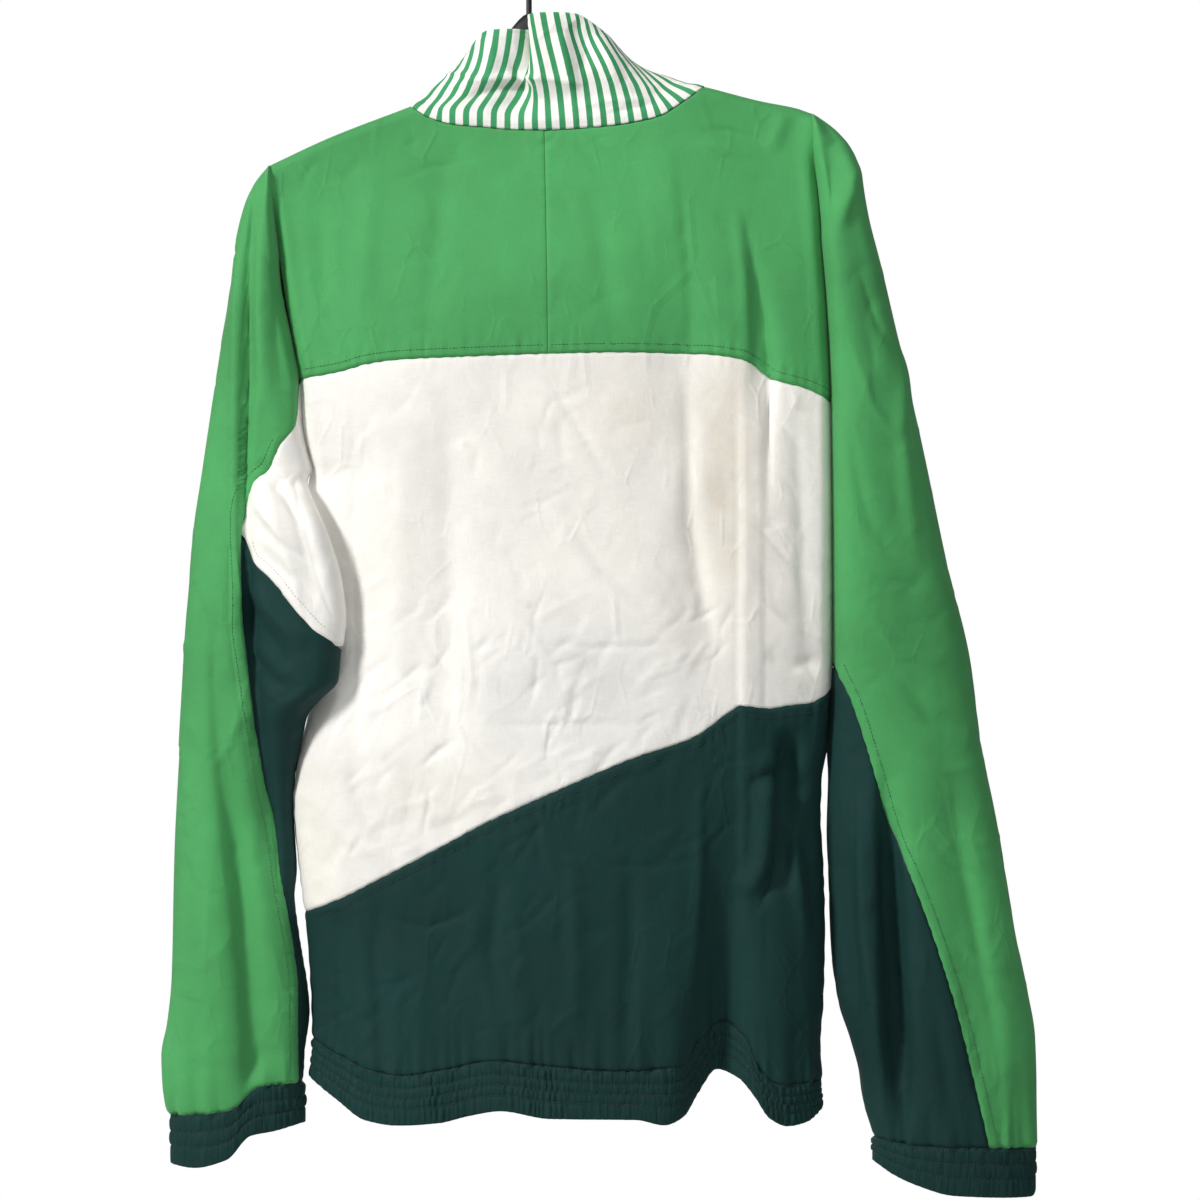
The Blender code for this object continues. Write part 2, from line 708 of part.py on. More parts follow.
def wing_patch(sheet):
    """The middle panel's stretch under the left arm, joined to the body along the fold line."""
    downs = [down for down in sleeve_downs(LEFT) if WING_TOP - 0.01 <= down <= WING_END + 0.01]

    def outer_edge(down):
        return WING_HEM(down) if down >= WING_START else GREEN_LEFT(down) - SEAM_X_GAP

    return sleeve_patch(LEFT, sheet, downs, outer_edge, inner_of(LEFT), "inner", SIDE_HALF_GAP)


def make_middles():
    """The white panels: one back, and two fronts with the zip between them."""
    top = shifted(YOKE_LINE, SEAM_HALF_GAP)
    rows = middle_rows()[0]
    halves = {}
    for sheet in (BACK, FRONT):
        bottom = shifted(WAIST_LINE[sheet], -SEAM_HALF_GAP)
        centre_gap = 0.0 if sheet == BACK else ZIP_SLOT_HALF
        for sleeve in (LEFT, RIGHT):
            halves[sheet, sleeve.name] = body_patch(sleeve, sheet, top, bottom, rows, centre_gap)
    back = [halves[BACK, "left"], halves[BACK, "right"], wing_patch(BACK)]
    cloth("back_middle", "white", back)
    cloth("front_middle_left", "white", [halves[FRONT, "left"], wing_patch(FRONT)])
    cloth("front_middle_right", "white", [halves[FRONT, "right"]])


def make_lowers():
    """The dark panels between the slanting seam and the hem band."""
    halves = {}
    for sheet in (BACK, FRONT):
        top = shifted(WAIST_LINE[sheet], SEAM_HALF_GAP)
        bottom = shifted(HEM_LINE[sheet], -SEAM_HALF_GAP)
        centre_gap = 0.0 if sheet == BACK else ZIP_SLOT_HALF
        for sleeve in (LEFT, RIGHT):
            halves[sheet, sleeve.name] = body_patch(
                sleeve, sheet, top, bottom, even_rows(LOWER_ROWS), centre_gap
            )
    cloth("back_lower", "dark_green", [halves[BACK, "left"], halves[BACK, "right"]])
    cloth("front_lower_left", "dark_green", [halves[FRONT, "left"]])
    cloth("front_lower_right", "dark_green", [halves[FRONT, "right"]])


def make_under_sleeves():
    """The dark pieces that wrap round the inside of each sleeve from its back to its front."""
    for sleeve in (LEFT, RIGHT):
        start = WING_START if sleeve is LEFT else THREE_WAY_RIGHT + 5.9
        downs = [down for down in sleeve_downs(sleeve) if down > start - 0.01]

        def outer_edge(down):
            return green_edge(sleeve, down) - sleeve.sign * SEAM_X_GAP

        def inner_edge(down):
            if sleeve is LEFT and down <= WING_END + 0.01:
                return min(WING_HEM(down) + WING_SEAM_X_GAP, outer_edge(down))
            return inner_of(sleeve)(down)

        patches = [
            sleeve_patch(sleeve, sheet, downs, outer_edge, inner_edge, "inner")
            for sheet in (BACK, FRONT)
        ]
        cloth(f"under_sleeve_{sleeve.name}", "dark_green", patches)


def make_hem():
    """The elastic band, open at the zip."""
    patches = []
    for sheet in (BACK, FRONT):
        top = shifted(HEM_LINE[sheet], SEAM_HALF_GAP)
        centre_gap = 0.0 if sheet == BACK else ZIP_SLOT_HALF
        for sleeve in (LEFT, RIGHT):
            patches.append(
                body_patch(
                    sleeve, sheet, top, EDGE_LINE[sheet], even_rows(HEM_ROWS), centre_gap, True, 0.0
                )
            )
    cloth("hem_band", "dark_green", patches)


def make_cuffs():
    for sleeve in (LEFT, RIGHT):
        at = sleeve.cuff_line
        seam = green_edge(sleeve, at)
        xs = [mix(sleeve.outer(at), seam, share) for share in rims_first(SLEEVE_COLUMNS + 1, True)]
        xs += [mix(sleeve.inner(at), seam, share) for share in rims_first(SLEEVE_COLUMNS)[-2::-1]]
        patches = []
        for sheet in (BACK, FRONT):
            rows = []
            for row in even_rows(CUFF_ROWS):
                line = []
                for x in xs:
                    y = sleeve_y(sleeve, sheet, x, at) * mix(1, CUFF_DRAW_IN, row)
                    top = sleeve.cuff_seam(x) + SEAM_HALF_GAP
                    line.append(point(x, y, mix(top, sleeve.cuff_edge(x), row)))
                rows.append(line)
            patches.append(rows)
        cloth(f"cuff_{sleeve.name}", "dark_green", patches)


def collar_rim():
    """Foot and top of the collar from the zip round the wearer's left to the zip again."""
    stations = []
    for sleeve in (LEFT, RIGHT):
        shares, at_neck = half_columns(sleeve)
        half = []
        for sheet in (FRONT, BACK):
            gap = ZIP_SLOT_HALF if sheet == FRONT else 0.0
            for share in shares[SIDE_COLUMNS:]:

                def x_at(down):
                    return column_x(sleeve, share, at_neck, down, gap, False)

                half.append((sheet, x_at(settle(NECKLINE[sheet], x_at, 150))))
        front = half[: NECK_COLUMNS + 1][::-1]
        back = half[NECK_COLUMNS + 2 :]
        stations += front + back if sleeve is LEFT else (front + back)[::-1][1:]
    rim = []
    for sheet, x in stations:
        neck = NECKLINE[sheet](x)
        lift = COLLAR_GAP + COLLAR_END_GAP * bell((neck - RIDGE_LINE(x)) / 6)
        foot = point(x, body_y(sheet, x, neck), neck)
        top = point(*(curve(x) for curve in COLLAR_EDGE[sheet]))
        rim.append((foot + (top - foot).normalized() * (lift * MM), top))
    return rim


def collar_rows():
    rim = collar_rim()
    return [[foot.lerp(top, row) for foot, top in rim] for row in even_rows(COLLAR_ROWS)]


def make_collar():
    cloth("collar", "stripe", [collar_rows()])


def zip_path():
    """The front's centre line from the hem's edge to the collar's top."""
    bottom = EDGE_LINE[FRONT](CENTRE_LINE(800))
    neck = NECKLINE[FRONT](CENTRE_LINE(200))
    path = []
    for down in steps(bottom, neck, (bottom - neck) / -ZIP_STEPS):
        x = CENTRE_LINE(down)
        path.append(point(x, body_y(FRONT, x, down), down))
    x = CENTRE_LINE(neck)
    _, y, down = (curve(x) for curve in COLLAR_EDGE[FRONT])
    top = point(x, y, down)
    foot = path[-1]
    return path + [foot.lerp(top, share) for share in (0.33, 0.66, 0.98)]


def path_frames(path):
    """At each point, the way along the path and the way out of the jacket."""
    frames = []
    for i in range(len(path)):
        along = (path[min(i + 1, len(path) - 1)] - path[max(i - 1, 0)]).normalized()
        out = Vector((1, 0, 0)).cross(along).normalized()
        frames.append((path[i], along, -out if out.y > 0 else out))
    return frames


def make_zip_tape():
    """Tape behind the fronts with the closed chain standing in the slot between them."""
    inside = -(CLOTH / 2 + ZIP_TAPE_GAP + ZIP_TAPE_THICKNESS)
    face = inside + ZIP_TAPE_THICKNESS
    section = (
        (-ZIP_TAPE_HALF, inside), (ZIP_TAPE_HALF, inside), (ZIP_TAPE_HALF, face),
        (CHAIN_HALF, face), (CHAIN_HALF, CHAIN_PROUD), (-CHAIN_HALF, CHAIN_PROUD),
        (-CHAIN_HALF, face), (-ZIP_TAPE_HALF, face),
    )
    work = bmesh.new()
    rings = []
    for at, _, out in path_frames(zip_path()):
        ring = [at + Vector((across * MM, 0, 0)) + out * (proud * MM) for across, proud in section]
        rings.append([work.verts.new(co) for co in ring])
    for low, high in zip(rings, rings[1:]):
        for i in range(len(section)):
            j = (i + 1) % len(section)
            work.faces.new((low[i], low[j], high[j], high[i]))
    work.faces.new(rings[0])
    work.faces.new(rings[-1])
    bmesh.ops.recalc_face_normals(work, faces=work.faces)
    mesh = bpy.data.meshes.new("zip_tape")
    work.to_mesh(mesh)
    work.free()
    add_object("zip_tape", mesh, "zip_white")


def box(mesh, low, high):
    """Adds a box between two corners, in millimetres."""
    made = bmesh.ops.create_cube(mesh, size=1.0)["verts"]
    for vert in made:
        for axis in range(3):
            vert.co[axis] = mix(low[axis], high[axis], vert.co[axis] + 0.5) * MM


def joined(name, boxes, look, place):
    """One solid from overlapping boxes."""
    first = None
    for i, (low, high) in enumerate(boxes):
        work = bmesh.new()
        box(work, low, high)
        mesh = bpy.data.meshes.new(f"{name}_{i}")
        work.to_mesh(mesh)
        work.free()
        if first is None:
            first = add_object(name, mesh, look)
            first.matrix_world = place
            continue
        tool = bpy.data.objects.new(f"{name}_{i}", mesh)
        tool.matrix_world = place
        tool.hide_render = True
        tool.display_type = "WIRE"
        bpy.data.collections["cutters"].objects.link(tool)
        union = first.modifiers.new(f"with_{i}", "BOOLEAN")
        union.operation = "UNION"
        union.object = tool
    return first


def slider_frame():
    """Place of the slider on the chain: its Z runs up the chain and its -Y out of the jacket."""
    path = zip_path()
    foot = path[-3]
    top = path[-1]
    at = foot.lerp(top, SLIDER_AT)
    along = (top - foot).normalized()
    out = along.cross(Vector((1, 0, 0))).normalized()
    out = -out if out.y > 0 else out
    axes = Matrix((Vector((1, 0, 0)), -out, along)).transposed().to_4x4()
    return Matrix.Translation(at) @ axes


def make_slider():
    """A plate over the chain with a bridge whose window holds the pull's bar."""
    place = slider_frame()
    back = -(CHAIN_PROUD + PLATE_GAP)
    face = back - PLATE_THICKNESS
    crown = face - WINDOW_HEIGHT
    half_bridge = BRIDGE_LENGTH / 2
    half_window = WINDOW_LENGTH / 2
    half = BRIDGE_WIDTH / 2
    plate = ((-SLIDER_WIDTH / 2, face, -SLIDER_LENGTH / 2), (SLIDER_WIDTH / 2, back, SLIDER_LENGTH / 2))
    bar = ((-half, crown - BRIDGE_BAR, -half_bridge), (half, crown, half_bridge))
    low_post = ((-half, crown - 0.2, -half_bridge), (half, face + 0.2, -half_window))
    high_post = ((-half, crown - 0.2, half_window), (half, face + 0.2, half_bridge))
    joined("zip_slider", (plate, bar, low_post, high_post), "zip_white", place)


def make_pull():
    """The pull hangs plumb from its bar, which lies across the bridge's window."""
    frame = slider_frame()
    face = -(CHAIN_PROUD + PLATE_GAP + PLATE_THICKNESS)
    pin = frame @ Vector((0, (face - WINDOW_HEIGHT / 2) * MM, -PIN_DROP * MM))
    half_bar = PULL_BAR / 2
    half = PULL_WIDTH / 2
    bar = ((-half, -half_bar, -half_bar), (half, half_bar, half_bar))
    left = ((-half, -half_bar, -PULL_LEG - 1), (-half + 1.4, half_bar, half_bar))
    right = ((half - 1.4, -half_bar, -PULL_LEG - 1), (half, half_bar, half_bar))
    tab = ((-half, -half_bar, -PULL_LENGTH), (half, half_bar, -PULL_LEG))
    joined("zip_pull", (tab, bar, left, right), "zip_white", Matrix.Translation(pin))


def make_hanger():
    """Plain moulded arms with a bore for the wire, and the wire's hook."""
    work = bmesh.new()
    rings = []
    for x, top, height in HANGER:
        ring = []
        thickness = min(HANGER_THICKNESS, height)
        for i in range(12):
            angle = 2 * math.pi * i / 12
            y = math.cos(angle) * thickness / 2
            ring.append(work.verts.new(point(x, y, top + (1 - math.sin(angle)) * height / 2)))
        rings.append(ring)
    for low, high in zip(rings, rings[1:]):
        for i in range(12):
            j = (i + 1) % 12
            work.faces.new((low[i], low[j], high[j], high[i]))
    work.faces.new(rings[0])
    work.faces.new(rings[-1])
    bmesh.ops.recalc_face_normals(work, faces=work.faces)
    mesh = bpy.data.meshes.new("hanger_body")
    work.to_mesh(mesh)
    work.free()
    body = add_object("hanger_body", mesh, "black_plastic")
    bore = bmesh.new()
    radius = (WIRE_RADIUS + 0.3) * MM
    bmesh.ops.create_cone(
        bore, cap_ends=True, segments=16, radius1=radius, radius2=radius, depth=0.04
    )
    bore_mesh = bpy.data.meshes.new("bore")
    bore.to_mesh(bore_mesh)
    bore.free()
    cutter = bpy.data.objects.new("bore", bore_mesh)
    cutter.location = (STEM_X * MM, 0, -(STEM_FOOT + 0.3) * MM + 0.02)
    cutter.hide_render = True
    cutter.display_type = "WIRE"
    bpy.data.collections["cutters"].objects.link(cutter)
    cut = body.modifiers.new("bore", "BOOLEAN")
    cut.operation = "DIFFERENCE"
    cut.object = cutter


def hook_points():
    """The stem, an easy bend out of it, then the hook's arc over the rod."""
    centre_down = HOOK_RADIUS - WIRE_RADIUS
    points = [(STEM_X, STEM_FOOT), (STEM_X, 60), (STEM_X, STEM_TOP)]
    start = -62
    for i in range(4):
        t = (i + 1) / 5
        angle = math.radians(start)
        x = mix(STEM_X, HOOK_RADIUS * math.cos(angle), ease(t))
        down = mix(STEM_TOP, centre_down - HOOK_RADIUS * math.sin(angle), t)
        points.append((x, down))
    for angle in range(start, 201, 12):
        turn = math.radians(angle)
        points.append((HOOK_RADIUS * math.cos(turn), centre_down - HOOK_RADIUS * math.sin(turn)))
    return points


def make_hook():
    curve = bpy.data.curves.new("hanger_hook", "CURVE")
    curve.dimensions = "3D"
    curve.bevel_depth = WIRE_RADIUS * MM
    curve.bevel_resolution = 3
    curve.use_fill_caps = True
    points = hook_points()
    line = curve.splines.new("POLY")
    line.points.add(len(points) - 1)
    for target, (x, down) in zip(line.points, points):
        target.co = (*point(x, 0, down), 1)
    obj = bpy.data.objects.new("hanger_hook", curve)
    curve.materials.append(material("black_metal"))
    bpy.data.collections["track_jacket"].objects.link(obj)


def main():
    for obj in list(bpy.data.objects):
        bpy.data.objects.remove(obj)
    for name in ("track_jacket", "cutters"):
        bpy.context.scene.collection.children.link(bpy.data.collections.new(name))
    make_yoke_sleeves()
    make_middles()
    make_lowers()
    make_under_sleeves()
    make_hem()
    make_cuffs()
    make_collar()
    make_zip_tape()
    make_slider()
    make_pull()
    make_hanger()
    make_hook()


main()
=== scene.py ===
"""Looks of the track jacket: sewn cloth panels, seams, stitching, elastic, zip and hanger.

Each cloth piece lies on the same three flattened tubes as the frame's solids: the body and two
sleeves, cut in millimetres as x to the wearer's left and down below the rod. Creases, puckers and
gathers are then raised along the cloth's own normals.
"""

import json
import math
import random

import bmesh
import bpy
import numpy as np
from mathutils import Matrix, Vector

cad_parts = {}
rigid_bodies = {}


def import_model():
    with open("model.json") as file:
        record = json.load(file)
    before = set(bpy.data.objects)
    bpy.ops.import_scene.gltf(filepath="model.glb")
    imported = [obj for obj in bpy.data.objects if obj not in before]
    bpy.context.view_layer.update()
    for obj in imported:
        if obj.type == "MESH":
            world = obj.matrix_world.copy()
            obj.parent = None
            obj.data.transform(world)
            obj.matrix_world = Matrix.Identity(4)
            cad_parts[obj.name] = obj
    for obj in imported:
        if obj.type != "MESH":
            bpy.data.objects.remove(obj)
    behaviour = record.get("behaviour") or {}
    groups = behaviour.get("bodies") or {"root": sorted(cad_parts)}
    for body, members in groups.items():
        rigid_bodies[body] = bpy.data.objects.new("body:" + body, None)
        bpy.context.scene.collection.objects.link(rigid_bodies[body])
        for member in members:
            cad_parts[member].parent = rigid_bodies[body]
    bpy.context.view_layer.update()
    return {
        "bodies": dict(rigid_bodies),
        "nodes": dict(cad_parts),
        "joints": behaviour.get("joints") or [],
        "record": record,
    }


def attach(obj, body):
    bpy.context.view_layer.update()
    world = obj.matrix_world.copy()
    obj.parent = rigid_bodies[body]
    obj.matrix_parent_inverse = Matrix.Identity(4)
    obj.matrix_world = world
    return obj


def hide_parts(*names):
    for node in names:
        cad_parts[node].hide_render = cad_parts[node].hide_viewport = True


MM = 0.001
BACK = 1
FRONT = -1

CLOTH = 1.0
COLLAR_CLOTH = 1.7
SEAM_HALF_GAP = 0.02
SEAM_X_GAP = 0.04
SIDE_HALF_GAP = 0.15
UNDERARM_HALF_GAP = 0.5
FOLD_CLEARANCE = -0.3
COLLAR_GAP = 0.45
ZIP_SLOT_HALF = 3.5
WELD_MM = 0.02
UNDERARM_REACH = 28.0
CUFF_TILT_START = 640.0
SETTLE_ROUNDS = 40
SLOPE_REACH = 2.0

OVER_HANGER = 7.0
DRAPE_LENGTH = 170.0
ROUNDNESS = 0.9

HANGER_THICKNESS = 10.0
WIRE_RADIUS = 2.0
HOOK_RADIUS = 20.0
STEM_FOOT = 78.0
STEM_TOP = 46.0
STEM_X = 0.7

# Outlines: rows of (down, x).
FOLD_LEFT = (
    (175, 185), (214, 181), (259, 175), (305, 167), (327, 163), (359, 161), (390, 154),
)
BODY_SIDE_LEFT = (
    (390, 154), (399, 156), (408, 157), (436, 154), (474, 147), (522, 146), (545, 149),
    (565, 157), (590, 163), (606, 166), (626, 168), (645, 166.5), (684, 162), (728, 157),
    (793, 154), (824, 157),
)
FOLD_RIGHT = (
    (138, -200), (163, -201), (192, -204), (231, -207), (270, -210), (341, -213), (454, -214),
    (536, -214), (586, -211),
)
BODY_SIDE_RIGHT = (
    (586, -211), (607, -207), (634, -206), (674, -208), (714, -209), (765, -208), (797, -206),
    (829, -207),
)
OUTER_LEFT = (
    (175, 185), (189, 196), (204, 202), (239, 208), (267, 213), (327, 223), (395, 233),
    (437, 239), (490, 243), (550, 246), (662, 252), (749, 254), (782, 257), (804, 261),
    (826, 260), (846, 255),
)
INNER_LEFT = (
    (390, 154), (399, 157.5), (408, 154.5), (436, 142), (474, 131), (496, 129), (522, 133),
    (540, 135), (552, 147), (565, 157.4), (584, 161.8), (600, 165.3), (611, 166.9),
    (630, 168.2), (652, 167.2), (675, 166), (697, 167.5), (724, 165), (749, 161.5), (773, 158),
    (793, 156.5), (824, 159.5),
)
OUTER_RIGHT = (
    (138, -200), (141, -205), (150, -217), (159, -225), (169, -230), (185, -235), (215, -241),
    (242, -248), (280, -257), (324, -267), (382, -280), (454, -295), (525, -312), (586, -320),
    (635, -330), (716, -344), (760, -353), (790, -358), (824, -359), (866, -359),
)
INNER_RIGHT = (
    (586, -211), (607, -212), (647, -211), (674, -212), (728, -214), (769, -219), (797, -228),
    (819, -234), (834, -236), (866, -243),
)
CENTRE = ((130, -10), (310, -13), (850, -13))

# Seams along a sleeve: rows of (down, x).
GREEN_EDGE_LEFT = (
    (327, 163), (345, 163.6), (359, 165), (373, 175), (391, 184), (400, 195), (411, 200),
    (425, 203), (440, 204), (497, 204), (537, 199), (584, 192), (609, 188), (640, 181),
    (684, 175), (717, 170), (749, 165.5), (773, 163.5), (824, 163.5),
)
WING_HEM_LEFT = (
    (440, 202.2), (454, 197), (464, 186), (473, 177), (485, 167), (498, 156), (506, 148),
    (511, 139), (518, 133),
)
GREEN_EDGE_RIGHT = (
    (525, -214), (537, -219), (555, -227), (599, -241), (643, -253), (677, -268), (716, -283),
    (768, -300), (814, -312), (866, -324),
)

# Lines across the body: rows of (x, down).
RIDGE = (
    (185, 175), (142, 155), (85, 133), (0, 100), (-60, 105), (-124, 119), (-163, 129),
    (-188, 134), (-200, 138),
)
NECK_BACK = (
    (85, 133), (72, 141), (55, 146), (33, 148), (9, 150), (-11, 150), (-57, 147), (-76, 144),
    (-92, 140), (-107, 131), (-124, 119),
)
NECK_FRONT = (
    (85, 133), (72, 152), (55, 170), (28, 190), (5, 201), (-31, 201), (-60, 190), (-92, 165),
    (-110, 142), (-124, 119),
)
YOKE_SEAM = (
    (163, 327), (133, 322), (115, 317), (93, 314), (48, 312), (-13, 310), (-64, 309),
    (-121, 310), (-146, 313), (-158, 318), (-170, 327), (-195, 334), (-214, 343),
)
WAIST_SEAM_BACK = (
    (160, 704), (133, 693), (104, 678), (53, 651), (33, 640), (-4, 623), (-45, 605),
    (-74, 593), (-115, 579), (-141, 561), (-148, 557), (-168, 559), (-182, 557), (-199, 555),
    (-214, 546),
)
WAIST_SEAM_FRONT = ((160, 704), (-13, 622), (-214, 546))
HEM_SEAM_BACK = (
    (153, 793), (146, 798), (130, 805), (113, 812), (90, 816), (61, 812), (23, 805),
    (-10, 808), (-64, 812), (-106, 809), (-121, 792), (-136, 780), (-152, 790), (-163, 814),
    (-178, 824), (-206, 823),
)
HEM_EDGE_BACK = (
    (156, 820), (136, 834), (115, 848), (94, 851), (63, 849), (42, 844), (19, 840), (-14, 845),
    (-75, 846), (-95, 850), (-108, 845), (-119, 829), (-132, 814), (-147, 819), (-158, 831),
    (-169, 847), (-182, 853), (-195, 851), (-207, 843),
)
HEM_SEAM_FRONT = (
    (153, 793), (130, 782), (90, 772), (40, 768), (-60, 768), (-130, 772), (-180, 790),
    (-206, 823),
)
HEM_EDGE_FRONT = (
    (156, 820), (130, 815), (90, 809), (40, 806), (-60, 806), (-130, 810), (-180, 828),
    (-207, 843),
)
CUFF_SEAM_LEFT = ((255, 848), (212, 843), (190, 826), (162, 824))
CUFF_EDGE_LEFT = ((254, 882), (238, 884), (214, 878), (197, 861), (181, 858), (162, 853))
CUFF_SEAM_RIGHT = ((-243, 863), (-275, 868), (-322, 869), (-359, 870))
CUFF_EDGE_RIGHT = (
    (-244, 880), (-256, 888), (-271, 895), (-300, 903), (-354, 905), (-360, 901),
)

# How far each sheet stands off the hanging plane: rows of (down, y).
BODY_DEPTH = {
    BACK: ((100, 12), (150, 16), (200, 24), (310, 36), (430, 44), (550, 50), (700, 55), (850, 54)),
    FRONT: ((100, 12), (150, 16), (200, 24), (310, 38), (430, 46), (550, 52), (700, 55), (850, 50)),
}
SLEEVE_DEPTH_LEFT = (
    (175, 5), (205, 12), (270, 19), (390, 24), (560, 27), (700, 29), (800, 29), (846, 23),
)
SLEEVE_DEPTH_RIGHT = (
    (138, 4), (150, 9), (185, 16), (270, 23), (400, 28), (600, 31), (760, 32), (866, 26),
)
VALLEY_LEFT = {
    BACK: ((175, 9), (320, 10), (390, 7)),
    FRONT: ((175, -9), (300, -10), (345, -6), (390, 7)),
}
VALLEY_RIGHT = {
    BACK: ((138, 9), (500, 10), (586, 0)),
    FRONT: ((138, -9), (500, -10), (586, 0)),
}
BODY_RIM_LEFT = ((390, 7), (440, 2), (500, 0))
BODY_RIM_RIGHT = ((586, 0), (850, 0))
SLEEVE_RIM_LEFT = (
    (390, 7), (399, 12), (408, 20), (436, 29), (470, 31), (530, 30), (548, 27), (560, 20),
    (575, 12), (590, 7), (620, 2), (660, 0),
)
SLEEVE_RIM_RIGHT = ((586, 0), (866, 0))
POUCH_FLATNESS = ((385, 0), (420, 0.9), (550, 0.9), (600, 0.2), (650, 0))

# Largest folds: tube, sheet, x and down at both ends, half width, depth (inwards), length over
# which each end fades, as a share of the fold.
FOLDS = (
    ("body", BACK, -103, 172, -112, 405, 22, 7, 0.4, 0.5),
    ("body", BACK, -156, 222, -166, 370, 11, 9, 0.5, 0.4),
    ("body", BACK, -112, 400, -131, 590, 18, 5, 0.3, 0.5),
    ("body", BACK, -145, 590, -131, 850, 19, 36, 1.0, 0.0),
    ("body", BACK, -184, 570, -178, 700, 9, 14, 0.2, 0.5),
    ("body", BACK, 123, 330, 121, 700, 10, 4, 0.3, 0.4),
    ("body", BACK, 147, 380, 142, 560, 14, 12, 0.1, 0.3),
    ("body", BACK, 60, 660, 45, 850, 24, 6, 0.7, 0.0),
    ("body", FRONT, 96, 215, 104, 420, 24, 8, 0.4, 0.5),
    ("body", FRONT, -118, 230, -128, 470, 24, 8, 0.4, 0.5),
    ("body", FRONT, 70, 540, 78, 850, 24, 12, 0.9, 0.0),
    ("body", FRONT, -112, 560, -104, 850, 24, 14, 0.9, 0.0),
    ("left", BACK, 207, 420, 176, 720, 9, 12, 0.3, 0.3),
    ("left", BACK, 214, 560, 191, 850, 12, 10, 0.4, 0.1),
    ("left", FRONT, 214, 430, 204, 820, 12, 8, 0.3, 0.2),
    ("right", BACK, -249, 600, -266, 860, 10, 9, 0.3, 0.2),
    ("right", BACK, -292, 560, -322, 850, 14, 5, 0.3, 0.2),
    ("right", FRONT, -262, 480, -300, 850, 14, 9, 0.3, 0.2),
)

# The collar's top edge above each neckline: x on the neckline, then x, down and y of the edge.
# Between x 40 and -8 the back's edge doubles over itself in a pleat.
COLLAR_TOP = {
    BACK: (
        (85, 50, 102, -12), (72, 44, 94, -3), (53, 30, 80, 11), (42.6, 20.6, 79.3, 15),
        (32.6, 11.5, 79, 14), (24, 3.8, 79, 9), (16, -4, 78, 4), (8, -5, 75, 7),
        (1, -1, 72, 15), (-6, 0.6, 70.5, 21), (-12, -0.6, 69.6, 24), (-19, -5.1, 69, 25),
        (-29, -14.7, 68.6, 25), (-39, -23.6, 68.6, 24), (-50, -31, 69, 22),
        (-78, -48, 78, 14), (-102, -60, 89, 2), (-124, -68, 102, -14),
    ),
    FRONT: (
        (85, 50, 102, -12), (72, 48, 110, -21), (55, 40, 118, -34), (28, 22, 127, -50),
        (5, 4, 130, -56), (-11, -11, 130, -56), (-31, -30, 130, -56), (-60, -44, 127, -50),
        (-92, -58, 120, -37), (-110, -66, 112, -26), (-124, -68, 102, -14),
    ),
}
COLLAR_ROWS = 44
# How much of its lean towards the top edge a stripe has taken, left and right of the pleat.
COLLAR_LEAN_LEFT = ((0, 0), (0.13, 0.0), (0.35, 0.4), (0.55, 0.72), (0.8, 0.92), (1, 1))
COLLAR_LEAN_RIGHT = ((0, 0), (0.15, 0.06), (0.35, 0.18), (0.55, 0.42), (0.8, 0.78), (1, 1))
COLLAR_LEAN_END = ((0, 0), (0.5, 0.5), (1, 1))
STRIPE_PITCH = 9.8
STRIPE_WIDTH = 4.4

# Sections of the hanger's arms: x, down of its top and its height.
HANGER = (
    (177, 177.6, 6), (171, 172.3, 11), (142, 158.2, 13), (113, 147, 13), (85, 138.6, 11),
    (70, 134, 11), (56, 130, 12), (38, 120, 16), (17, 82, 40), (0, 66, 47), (-16, 88, 34),
    (-38, 116, 15), (-78, 121, 12), (-100, 123, 12), (-124, 125.5, 12), (-163, 131.5, 13),
    (-188, 137.5, 11), (-194, 141.5, 6),
)

